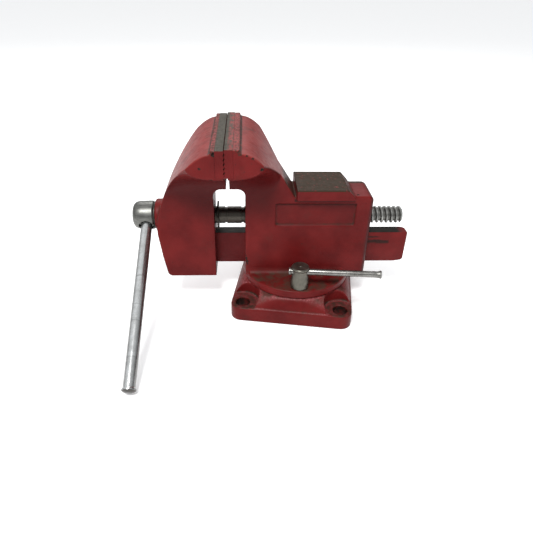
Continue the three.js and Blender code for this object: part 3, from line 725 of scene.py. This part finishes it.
def make_front_jaw():
    bottom = JAW_LOW[2]
    outline = [(0.0, JAW_HIGH[2]), (0.0, bottom - 3), (-51.6, bottom - 3), (-51.6, bottom), (-53.4, 29.4)]
    outline += [(-54.4, 31.4), (-57.3, 48.4), (-59.9, 70.0)]
    outline += back_curve(FRONT_HEAD, -1)[::-1] + [(-FRONT_HEAD["rib"], JAW_HIGH[2])]
    web = bevel(prism("front_jaw_casting", outline, -WALL_HALF, WALL_HALF), 0.9, 60)
    boss_face = JAW_LOW[0]
    profile = rounded([(0, boss_face), (14.2, boss_face), (14.2, -46), (0, -46)], 1.2)
    boss = turned("boss", profile, (0, 0, SCREW_Z), (1, 0, 0))
    fuse(web, wing("wing", FRONT_HEAD, -1, -1), wing("wing", FRONT_HEAD, -1, 1), boss)
    cut(web, throat(-1, THROAT_FRONT, 20.0))
    cast(web, 0.62, 3)
    gap = 0.3
    bar_pocket = block("bar_pocket", (BAR_LOW[0] - gap, 1), (BAR_LOW[1] - gap, BAR_HIGH[1] + gap),
                       (BAR_LOW[2] - gap, BAR_HIGH[2] + gap))
    bore = rod("bore", SCREW_R + 0.8, (0, 0, SCREW_Z), (1, 0, 0), -63, 0)
    dents = [pit(*dent) for dent in FRONT_PITS]
    cut(web, lip_gap(-1, 0.25), insert_pocket(-1, JAW_HIGH[2]), bar_pocket, bore, *dents)
    return cut(web, block("below", (-70, 5), (-30, 30), (bottom - 9, bottom)))


def foot_fillet():
    """The concave sweep where the body's walls rise out of the flange."""
    sections = []
    for i in range(9):
        angle = math.pi / 2 * i / 8
        out, up = 5.5 * (1 - math.sin(angle)), 5.5 * (1 - math.cos(angle))
        outline = rounded_rectangle(
            BODY_FRONT - min(out, 1.0), 104 + out / 2, -WALL_HALF - out, WALL_HALF + out, 2 + out / 2
        )
        sections.append([(x, y, FLANGE["high"] - 0.4 + up) for x, y in outline])
    return loft("foot_fillet", sections)


def make_body():
    end, top = BODY_END, BODY_TOP
    outline = [(BODY_FRONT, 28.5), (BODY_FRONT, THROAT_TOP - 20), (0.0, THROAT_TOP - 20),
               (0.0, BODY_HIGH[2]), (REAR_HEAD["rib"], BODY_HIGH[2])]
    outline += back_curve(REAR_HEAD, 1) + [(60.0, top)]
    outline += arc(end - 6, top - 6, 6, 90, 0) + [(end, 28.5)]
    web = bevel(prism("body_casting", outline, -WALL_HALF, WALL_HALF), 0.9, 60)
    plan = [(-10, -WALL_HALF)] + arc(end - 5, -WALL_HALF + 5, 5, -90, 0)
    plan += arc(end - 5, WALL_HALF - 5, 5, 0, 90) + [(-10, WALL_HALF)]
    combine(web, [slab("plan", plan, 0, 200)], "INTERSECT")
    r, low, high = FLANGE["r"], FLANGE["low"], FLANGE["high"]
    profile = rounded([(0, low), (r, low), (r, high), (0, high)], 1.6)
    flange = turned("flange", profile, (SWIVEL_X, 0, 0), (0, 0, 1), 160)
    spigot = rod("spigot", 12, (SWIVEL_X, 0, 0), (0, 0, 1), 13, low + 1)
    trim = rod("trim", r - 1, (SWIVEL_X, 0, 0), (0, 0, 1), 20, 60, 160)
    fillet = combine(foot_fillet(), [trim], "INTERSECT")
    anvil = prism(
        "anvil",
        [(ANVIL["x0"], ANVIL["under"]), (ANVIL["foot"], ANVIL["under"]), (ANVIL["foot"], top),
         (ANVIL["x1"], ANVIL["top"]), (ANVIL["x0"], ANVIL["top"])],
        -ANVIL["half"], ANVIL["half"],
    )
    fuse(web, wing("wing", REAR_HEAD, 1, -1), wing("wing", REAR_HEAD, 1, 1), anvil, flange, spigot, fillet)
    panel = prism(
        "panel", rounded_rectangle(PANEL["x0"], PANEL["x1"], PANEL["z0"], PANEL["z1"], PANEL["r"]),
        -WALL_HALF - 1, -WALL_HALF + PANEL["deep"] + 0.3,
    )
    cut(web, throat(1, BODY_FRONT, 60.0), panel)
    cast(web, 0.66, 3)
    gap = 0.4
    bar_slot = block("bar_slot", (0, end + 1), (BAR_LOW[1] - gap, BAR_HIGH[1] + gap),
                     (BAR_LOW[2] - gap, BAR_HIGH[2] + gap))
    bore = rod("bore", SCREW_R + 1.4, (0, 0, SCREW_Z), (1, 0, 0), 0, end + 1)
    nut_pocket = rod("nut_pocket", 12.3, (0, 0, SCREW_Z), (1, 0, 0), 0, 45.3)
    set_screw = rod("set_screw", 3.3, (31.5, 0, SCREW_Z), (0, 1, 0), 0, WALL_HALF + 1)
    bolts = [rod("bolt", 4.37, (SWIVEL_X - 0.4, y, 0), (0, 0, 1), 20, 40) for y in (-39.6, 39.6)]
    dents = [pit(*dent) for dent in REAR_PITS]
    pocket = insert_pocket(1, BODY_HIGH[2])
    return cut(web, lip_gap(1, REAR_LIP), pocket, bar_slot, bore, nut_pocket, set_screw, *bolts, *dents)


def base_ring(half, corner, z, count=160):
    """A rounded square about the swivel axis, at height z."""
    points = []
    for i in range(count):
        angle = 2 * math.pi * i / count
        c, s = math.cos(angle), math.sin(angle)
        flat = half - corner
        reach = half / max(abs(c), abs(s))
        if abs(c) * reach > flat and abs(s) * reach > flat:
            along = flat * (abs(c) + abs(s))
            reach = along + math.sqrt(max(0.0, along * along - 2 * flat * flat + corner * corner))
        points.append((reach * c, reach * s, z))
    return points


BASE = {"half": 53.35, "corner": 10.0, "edge": 13.2, "top_r": 46.4, "turn": -9.22, "round": 1.3}
MOUNT_HOLE = {"at": 42.87, "r": 6.35, "pad_r": 14.5, "pad_z": 13.0}
T_SLOT = {"r": 39.6, "neck": 4.7, "half": 6.4, "low": 4.0, "high": 12.4}


def on_base(x, y):
    """A place on the base, which stands turned a little about the swivel axis."""
    turn = math.radians(BASE["turn"])
    return (SWIVEL_X + x * math.cos(turn) - y * math.sin(turn), x * math.sin(turn) + y * math.cos(turn))


def make_base():
    half, corner, r = BASE["half"], BASE["corner"], BASE["round"]
    rings = [base_ring(half, corner, -3)]
    for i in range(5):
        angle = math.pi / 2 * i / 4
        inset = r * (1 - math.cos(angle))
        rings.append(base_ring(half - inset, corner - inset, BASE["edge"] - r * (1 - math.sin(angle))))
    edge = rings[-1]
    circle = base_ring(BASE["top_r"], BASE["top_r"] - 0.01, BASE_TOP)
    for i in range(1, 9):
        t = i / 8
        height = BASE["edge"] + (BASE_TOP - BASE["edge"]) * math.sin(math.pi / 2 * t) ** 0.9
        rings.append([(a[0] + (b[0] - a[0]) * t, a[1] + (b[1] - a[1]) * t, height)
                      for a, b in zip(edge, circle)])
    base = loft("base_casting", [[(*on_base(x, y), z) for x, y, z in ring] for ring in rings])
    for i in (-1, 1):
        for j in (-1, 1):
            x, y = on_base(i * MOUNT_HOLE["at"], j * MOUNT_HOLE["at"])
            pad = rod("pad", MOUNT_HOLE["pad_r"], (x, y, 0), (0, 0, 1), MOUNT_HOLE["pad_z"], 30)
            hole = rod("hole", MOUNT_HOLE["r"], (x, y, 0), (0, 0, 1), -1, 30)
            cut(base, pad, hole)
    cast(base, 0.66, 3)
    centre, up = (SWIVEL_X, 0, 0), (0, 0, 1)
    r = T_SLOT["r"]

    def ring_cut(half_width, low, high):
        inner, outer = r - half_width, r + half_width
        profile = [(inner, low), (outer, low), (outer, high), (inner, high)]
        return turned("slot", profile, centre, up, 160, closed=True)

    neck = ring_cut(T_SLOT["neck"], 8, 30)
    room = ring_cut(T_SLOT["half"], T_SLOT["low"], T_SLOT["high"])
    window = [on_base(x, y) for x, y in ((r - 6.4, -8), (r + 6.4, -8), (r + 6.4, 8), (r - 6.4, 8))]
    socket = rod("socket", 12.4, centre, up, 12, 30)
    below = block("below", (-30, 150), (-90, 90), (-9, 0))
    return cut(base, neck, room, slab("window", window, -1, 5), socket, below)


# ---------- steel pieces ----------
def make_slide_bar():
    (x0, y0, z0), (x1, y1, z1) = BAR_LOW, BAR_HIGH
    z0 -= 0.5
    near_round, far_round = 2.2, 6.5
    outline = [(x0, z0), (x1 - 9, z0), (x1 - 2.4, z0 + 1), (x1 - 0.7, z0 + 2.6), (x1, z1 - 2),
               (x1 - 0.6, z1 - 0.6), (x1 - 1.6, z1), (x0, z1)]
    plan = [(x0 - 1, y0)] + arc(x1 - near_round, y0 + near_round, near_round, -90, 0, 8)
    plan += arc(x1 - far_round, y1 - far_round, far_round, 0, 90, 12) + [(x0 - 1, y1)]
    bar = combine(prism("worn_slide_bar", outline, y0, y1), [slab("plan", plan, z0 - 1, z1 + 1)], "INTERSECT")
    return bevel(bar, 0.3, 30, 3)


def make_insert(place, side):
    """A jaw plate with a cross-cut gripping face: raised squares between two sets of grooves."""
    low, high = box_mm(f"{place}_jaw_insert")
    face, back = 0.15, INSERT_THICK
    pitch, deep, half = 3.4, 0.8, 0.7
    rows = [high[2] - 0.3]
    z = high[2] - pitch
    while z > low[2] + 2:
        rows += [z + half, z, z - half]
        z -= pitch
    rows.append(low[2])
    columns = [-HEAD_HALF]
    y = -HEAD_HALF + pitch * 0.9
    while y < HEAD_HALF - 2:
        columns += [y - half, y, y + half]
        y += pitch
    columns.append(HEAD_HALF)
    groove_z = {row for i, row in enumerate(rows[1:-1]) if i % 3 == 1}
    groove_y = {column for i, column in enumerate(columns[1:-1]) if i % 3 == 1}
    points, faces = [], []
    for z in rows:
        for y in columns:
            depth = deep if z in groove_z else (deep * 0.8 if y in groove_y else 0.0)
            points.append((side * (face + depth), y, z))
    wide = len(columns)
    for i in range(len(rows) - 1):
        for j in range(wide - 1):
            a = i * wide + j
            faces.append([a, a + 1, a + 1 + wide, a + wide])
    top_ring = [len(points) + k for k in range(2)]
    points += [(side * (face + 0.3), -HEAD_HALF, high[2]), (side * (face + 0.3), HEAD_HALF, high[2])]
    back_ring = [len(points) + k for k in range(4)]
    points += [(side * back, -HEAD_HALF, high[2]), (side * back, HEAD_HALF, high[2]),
               (side * back, HEAD_HALF, low[2]), (side * back, -HEAD_HALF, low[2])]
    last = (len(rows) - 1) * wide
    faces.append([*range(wide), top_ring[1], top_ring[0]])
    faces.append([top_ring[0], top_ring[1], back_ring[1], back_ring[0]])
    faces.append(back_ring)
    faces.append([*range(last, last + wide), back_ring[2], back_ring[3]])
    faces.append([*[i * wide for i in range(len(rows))], back_ring[3], back_ring[0], top_ring[0]])
    faces.append([*[i * wide + wide - 1 for i in range(len(rows))], back_ring[2], back_ring[1], top_ring[1]])
    plate = new_piece(f"{place}_grip_plate", points, faces)
    screw_y, screw_z = 27, 145
    profile = [(0, -1), (4.7, -1), (4.7, 1.3), (2.8, 3.7), (2.8, 17), (0, 17)]
    places = [(0, y, screw_z) for y in (-screw_y, screw_y)]
    return cut(plate, *[turned("sink", profile, at, (side, 0, 0), 48) for at in places])


def thread_profile(x, crest):
    """Radius of the main thread at distance x along one pitch: flat root and crest, curved flanks."""
    flank = (PITCH / 2 - 0.5) / 2
    root = PITCH - crest - 2 * flank
    if x < root:
        return ROOT_R
    if x < root + flank:
        t = (x - root) / flank
    elif x < root + flank + crest:
        return SCREW_R
    else:
        t = 1 - (x - root - flank - crest) / flank
    return ROOT_R + (SCREW_R - ROOT_R) * (t * t * (3 - 2 * t))


def make_thread(start, end, steps=36, per_row=14):
    """The helical thread as one skin, closed by a spiral fan at each end, for the caller to trim."""
    turns = math.ceil((end - start) / PITCH)
    points, faces = [], []
    total = turns * steps

    def index(step, k):
        if k == per_row:
            return index(step + steps, 0)
        return step * per_row + k

    for step in range(total + steps + 1):
        angle = 2 * math.pi * (step % steps) / steps
        for k in range(per_row):
            along = PITCH * k / per_row
            r = thread_profile(along, 1.35)
            points.append((start + PITCH * step / steps + along, r * math.cos(angle),
                           SCREW_Z + r * math.sin(angle)))
    for step in range(total):
        for k in range(per_row):
            faces.append([index(step, k), index(step + 1, k), index(step + 1, k + 1), index(step, k + 1)])
    for first, tip_x in ((0, start - PITCH), (total, start + PITCH * (turns + 2))):
        tip = len(points)
        points.append((tip_x, 0, SCREW_Z))
        ring = [index(first + step, 0) for step in range(steps + 1)]
        ring += [index(first, k) for k in range(per_row - 1, 0, -1)]
        for a, b in zip(ring, ring[1:] + ring[:1]):
            faces.append([tip, a, b])
    thread = new_piece("thread", points, faces)
    used = bmesh.new()
    used.from_mesh(thread.data)
    loose = [v for v in used.verts if not v.link_faces]
    bmesh.ops.delete(used, geom=loose, context="VERTS")
    used.to_mesh(thread.data)
    used.free()
    return thread


def make_main_screw():
    r, left, inner = SCREW_R, SCREW_LOW[0], -63.4
    hub_r = 12.3
    clip_x, clip_half = -8.3, 0.95
    hub = [(0, left), (5.5, left + 0.15), (9.4, left + 1.2), (11.4, left + 3.2), (hub_r - 0.1, left + 6.4),
           (hub_r, left + 9.5), (hub_r + 0.15, inner - 0.9), (hub_r - 0.6, inner)]
    grooves = [(clip_x - clip_half, clip_x + clip_half, 1.8), (-2.2, -0.5, 0.7), (12, 14, 0.8)]
    profile = rounded(hub, 1.6)[:-1] + [hub[-1], (r, inner)]
    for low, high, deep in grooves:
        profile += [(r, low - 0.15), (r - deep, low), (r - deep, high), (r, high + 0.15)]
    profile += [(r, THREAD_START), (ROOT_R - 0.3, THREAD_START + 1.8), (0, THREAD_START + 1.8)]
    screw = turned("polished_main_screw", profile, (0, 0, SCREW_Z), (1, 0, 0), 96)
    end = SCREW_HIGH[0]
    thread = make_thread(THREAD_START - 2 * PITCH, end + PITCH)
    trim_profile = [(0, THREAD_START), (r + 1, THREAD_START), (r + 1, end - 2.4), (r - 1.4, end), (0, end)]
    combine(thread, [turned("trim", trim_profile, (0, 0, SCREW_Z), (1, 0, 0), 96)], "INTERSECT")
    fuse(screw, thread)
    centre = (HANDLE_X, 0, SCREW_Z)
    bore = [(0, -20), (7.4, -12.8), (6.4, -11.6), (6.3, -8.7), (5.12, -8.2), (5.12, 8.2), (6.3, 8.7),
            (6.4, 11.6), (7.4, 12.8), (0, 20)]
    return cut(screw, turned("handle_bore", bore, centre, HANDLE_UP, 64))


def make_handle():
    r, below, above, head_r, head_t = 4.76, 152.2, 11.2, 5.5, 2.1
    centre = (HANDLE_X, 0, SCREW_Z)
    neck = r - 1.2
    dome = 1.4
    profile = [(0, -below - dome), (2.6, -below - dome + 0.25), (4.3, -below - 0.5),
               (head_r - 0.2, -below + 0.2), (head_r, -below + 0.7), (head_r, -below + head_t - 0.5),
               (r + 0.15, -below + head_t + 0.3), (r, -below + head_t + 1.0), (r, above - head_t - 0.3),
               (neck, above - head_t - 0.3), (neck, above - 0.5), (0, above - 0.5)]
    bar = turned("worn_handle_bar", rounded(profile, 0.35), centre, HANDLE_UP, 64)
    cap_profile = [(0, above), (neck + 0.3, above), (neck + 0.3, above - head_t), (head_r, above - head_t),
                   (head_r, above), (head_r - 0.9, above + 0.75), (0, above + 0.8)]
    cap = turned("worn_handle_cap", rounded(cap_profile, 0.3), centre, HANDLE_UP, 64)
    return bar, cap


def make_lock(place):
    """A round lock nut, its sliding bar and the bar's pressed-on end."""
    joint = joints[f"lock_turn_{place}"]
    x, y, _ = (p / MM for p in joint["pos_m"])
    centre = (x + SWIVEL_X, y, 0)
    along = -Vector(joints[f"lock_bar_slide_{place}"]["axis"])
    low = box_mm(f"lock_nut_{place}")[0][2]
    post = [(0, low), (7.6, low), (7.85, low + 1.4), (7.7, 38), (7.05, 42.5), (6.6, 46), (6.5, 49.4),
            (7.45, 50.2), (7.7, 51), (7.55, 51.9), (6.7, 52.5), (5.6, 52.3), (5.0, 52.35), (1.5, 52.5),
            (1.1, 52.85), (0, 52.9)]
    nut = turned(f"turned_lock_nut_{place}", rounded(post, 0.6), centre, (0, 0, 1), 96)
    bar_z = 47.2
    at = (centre[0], centre[1], bar_z)
    thread_hole = rod("thread_hole", 4.3, centre, (0, 0, 1), low - 1, 43.6)
    cut(nut, rod("cross", 3.15, at, along, -12, 12), thread_hole)
    r, left, right, head_r, flare, head_t, cap_r, cap_t = 2.75, -7.6, 65.4, 3.6, 2.4, 2.9, 3.4, 2.2
    pin, pin_end = r - 0.6, left - 1.4
    bar_profile = [(0, pin_end), (pin, pin_end), (pin, left), (r, left), (r, right - 1.0),
                   (r + 0.2, right + flare * 0.4), (head_r - 0.15, right + flare * 0.9),
                   (head_r, right + flare), (head_r - 0.2, right + head_t), (0, right + head_t)]
    bar = turned(f"worn_lock_bar_{place}", rounded(bar_profile, 0.3), at, along, 48)
    bore = pin + 0.3
    cap_profile = [(0, left - cap_t), (cap_r - 0.5, left - cap_t), (cap_r, left - cap_t + 0.5),
                   (cap_r, left - 0.3), (bore, left - 0.3), (bore, pin_end - 0.3), (0, pin_end - 0.3)]
    cap = turned(f"worn_lock_bar_cap_{place}", rounded(cap_profile, 0.25), at, along, 48)
    return nut, bar, cap


def make_thrust_washer():
    low, high = box_mm("thrust_washer")
    outer, inner = 11.8, SCREW_R + 0.5
    profile = [(inner, low[0]), (outer - 0.2, low[0]), (outer, low[0] + 0.2), (outer, high[0] - 0.2),
               (outer - 0.2, high[0]), (inner, high[0])]
    return turned("oily_thrust_washer", profile, (0, 0, SCREW_Z), (1, 0, 0), 96, closed=True)


def make_retaining_clip():
    low, high = box_mm("retaining_clip")
    outer, inner, mouth = 12.2, 5.9, 26
    outline = arc(0, SCREW_Z, outer, mouth, 360 - mouth, 60) + arc(0, SCREW_Z, inner, 360 - mouth, mouth, 40)
    ring = [[(x, y, z) for y, z in outline] for x in (low[0], high[0])]
    return bevel(loft("spring_retaining_clip", ring), 0.15, 40, 2)


# ---------- assembly ----------
def build_looks():
    rear_rib = rib_foot(1, REAR_HEAD["rib"], BODY_HIGH[2])
    front_rib = rib_foot(-1, FRONT_HEAD["rib"], JAW_HIGH[2])
    red_body = enamel("worn_red_enamel", [
        # The near-black red under the jaws is painted shade.
        (anvil_top, TARNISH, 1.0), (behind_jaw, SOIL, 0.4), (painted_shade_below_jaws, (0.050, 0.0030, 0.0035), 0.0),
        (flange_dirt, (0.060, 0.032, 0.022), 0.2), (worn_rear_rib, SOIL, 0.8), (rear_rib, SOIL, 0.3),
        # The dark red round the body's rear end is painted shade.
        (body_top_edge, SOIL, 0.4), (painted_shade_body_end, (0.045, 0.004, 0.004), 0.0),
        # The dark red in the panel is painted shade.
        # The dark red under the anvil is painted shade.
        (panel_shade, (0.035, 0.006, 0.006), 0.0), (painted_shade_under_anvil, (0.020, 0.004, 0.004), 0.0),
        (chips(REAR_PITS), IRON, 1.0)])
    red_jaw = enamel("worn_red_enamel_jaw", [
        # The near-black red under the jaws is painted shade.
        (painted_shade_below_jaws, (0.050, 0.0030, 0.0035), 0.0), (front_rib_top, SOIL, 0.8), (front_rib, SOIL, 0.3),
        (chips(FRONT_PITS), IRON, 1.0)], 0.8, 0.8)
    red_base = enamel("worn_red_enamel_base", [
        # The light pink flecks on the base are painted glints.
        (painted_glints, (0.330, 0.105, 0.110), 0.0), (base_dirt, (0.052, 0.028, 0.020), 0.2),
        # The wide hole zone is dirt; the narrow, near-black one is painted shade inside the bolt holes.
        (hole_dirt_and_shade(12.5, 0.7), SOIL, 0.3), (hole_dirt_and_shade(7.4, 1.0), (0.016, 0.008, 0.006), 0.2)], 1.0, 1.3)
    black = (0.012, 0.009, 0.007)
    bar_red = enamel("scuffed_slide_bar", [
        (bar_in_throat, (0.055, 0.004, 0.005), 0.0), (bar_top, black, 0.6), (bar_scratches, black, 0.5)],
        0.15, 0.4)
    zinc = steel("worn_screw_steel", (0.31, 0.31, 0.295), (0.20, 0.20, 0.19), (0.30, 0.46), stain=0.4,
                 marks=screw_wear_and_shade)
    bar_zinc = steel("worn_handle_zinc", (0.60, 0.61, 0.61), (0.47, 0.475, 0.47), (0.17, 0.26), (1, 0.3, 0.3),
                     0.15, handle_rings_and_side_shade)
    lock_grey = steel("aged_lock_steel", (0.165, 0.155, 0.130), (0.11, 0.105, 0.088), (0.30, 0.44),
                      stain=0.25)
    lock_bar = steel("worn_lock_bar_steel", (0.25, 0.245, 0.23), (0.15, 0.145, 0.135), (0.22, 0.34),
                     (0.3, 1, 1), 0.25)
    dark = steel("oily_dark_steel", (0.06, 0.053, 0.046), (0.03, 0.026, 0.022), (0.35, 0.55), stain=0.5)
    hidden = steel("plain_fastener_steel", (0.35, 0.34, 0.33), (0.22, 0.21, 0.2), (0.35, 0.5))

    finish_piece(make_front_jaw(), red_jaw, "front_jaw", "front_jaw")
    finish_piece(make_body(), red_body, "vise_body", "body")
    finish_piece(make_base(), red_base, "base", "base")
    finish_piece(make_slide_bar(), bar_red, "front_jaw", "slide_bar")
    for place, side, body in (("front", -1, "front_jaw"), ("rear", 1, "vise_body")):
        plate = jaw_plate(f"{place}_jaw_plate", place == "rear")
        finish_piece(make_insert(place, side), plate, body, f"{place}_jaw_insert")
    finish_piece(make_main_screw(), zinc, "spindle", "main_screw")
    finish_piece(make_thrust_washer(), dark, "front_jaw", "thrust_washer")
    finish_piece(make_retaining_clip(), dark, "spindle", "retaining_clip")
    for piece, node in zip(make_handle(), ("handle_bar", "handle_cap")):
        finish_piece(piece, bar_zinc, "handle", node)
    for place in ("near", "far"):
        kinds = ("lock_nut", "lock_bar", "lock_bar_cap")
        for piece, kind in zip(make_lock(place), kinds):
            body = f"{'lock_nut' if kind == 'lock_nut' else 'lock_bar'}_{place}"
            look = lock_grey if kind == "lock_nut" else lock_bar
            finish_piece(piece, look, body, f"{kind}_{place}")
    for name, node in frame["nodes"].items():
        if name.startswith(("nut_", "main_nut")):
            set_material(node, dark)
        elif "insert_screw" in name or "pin" in name or "lock_bolt" in name:
            set_material(node, hidden)


def set_material(node, material):
    for slot in node.material_slots:
        slot.material = material


# ---------- stage ----------
def camera():
    """Stands where the photograph was taken: in front of the vise and above it, looking down."""
    data = bpy.data.cameras.new("camera")
    data.sensor_width = 36.0
    data.lens = 32.05
    data.shift_x, data.shift_y = 0.00625, -0.01045
    data.clip_start = 0.01
    eye = bpy.data.objects.new("camera", data)
    yaw, pitch, roll = (math.radians(a) for a in (2.49, -32.00, 1.01))
    forward = Vector((math.sin(yaw) * math.cos(pitch), math.cos(yaw) * math.cos(pitch), math.sin(pitch)))
    level = Vector((math.cos(yaw), -math.sin(yaw), 0))
    above = level.cross(forward)
    right = level * math.cos(roll) + above * math.sin(roll)
    up = above * math.cos(roll) - level * math.sin(roll)
    turn = Matrix((right, up, -forward)).transposed().to_4x4()
    eye.matrix_world = Matrix.Translation(Vector(mm((15.3, -375.3, 267.8)))) @ turn
    bpy.context.scene.collection.objects.link(eye)
    bpy.context.scene.camera = eye


def soft_light(name, place, target, size, power, tint=(1, 1, 1)):
    data = bpy.data.lights.new(name, "AREA")
    data.shape = "RECTANGLE"
    data.size, data.size_y = size
    data.energy = power
    data.color = tint
    lamp = bpy.data.objects.new(name, data)
    aim = (Vector(target) - Vector(place)).to_track_quat("-Z", "Y")
    lamp.matrix_world = Matrix.Translation(Vector(place)) @ aim.to_matrix().to_4x4()
    bpy.context.scene.collection.objects.link(lamp)


def sky(world):
    """A white tent: bright overhead, dim round the horizon, a little dimmer to the right."""
    tree = world.node_tree
    background = tree.nodes["Background"]
    direction = tree.nodes.new("ShaderNodeSeparateXYZ")
    tree.links.new(tree.nodes.new("ShaderNodeTexCoord").outputs["Generated"], direction.inputs[0])
    levels = []
    for letter, values in (("Z", (0.0, 0.75, 0.24, 0.92)), ("X", (-0.6, 1.0, 1.15, 0.5))):
        level = tree.nodes.new("ShaderNodeMapRange")
        for socket, value in zip(("From Min", "From Max", "To Min", "To Max"), values):
            level.inputs[socket].default_value = value
        tree.links.new(direction.outputs[letter], level.inputs["Value"])
        levels.append(level.outputs["Result"])
    product = tree.nodes.new("ShaderNodeMath")
    product.operation = "MULTIPLY"
    for source, target in zip(levels, product.inputs):
        tree.links.new(source, target)
    tree.links.new(product.outputs[0], background.inputs["Strength"])
    background.inputs["Color"].default_value = (0.97, 0.985, 1.0, 1.0)


def studio():
    world = bpy.data.worlds.new("studio")
    world.use_nodes = True
    sky(world)
    bpy.context.scene.world = world
    soft_light("key_softbox", (-0.25, -0.70, 1.15), (0, 0, 0.05), (0.30, 0.30), 15.0)
    soft_light("back_softbox", (-0.1, 0.95, 0.95), (0, 0, 0.08), (1.0, 0.5), 6.0)

    material = Nodes("pale_floor")
    patches = material.ramp(material.noise(60, 2), 0.3, 0.7)
    tone = material.mix(patches, (0.93, 0.93, 0.93), (0.95, 0.95, 0.95))
    bpy.ops.mesh.primitive_plane_add(size=60, location=(0, 0, -0.0004))
    floor = bpy.context.object
    floor.name = "floor"
    material.shader.inputs["Emission Color"].default_value = (1.0, 1.0, 1.0, 1.0)
    material.shader.inputs["Emission Strength"].default_value = 0.24
    floor.data.materials.append(material.finish(tone, 0.9, 0.0))
    bpy.context.scene.view_settings.view_transform = "Standard"


camera()
build_looks()
studio()
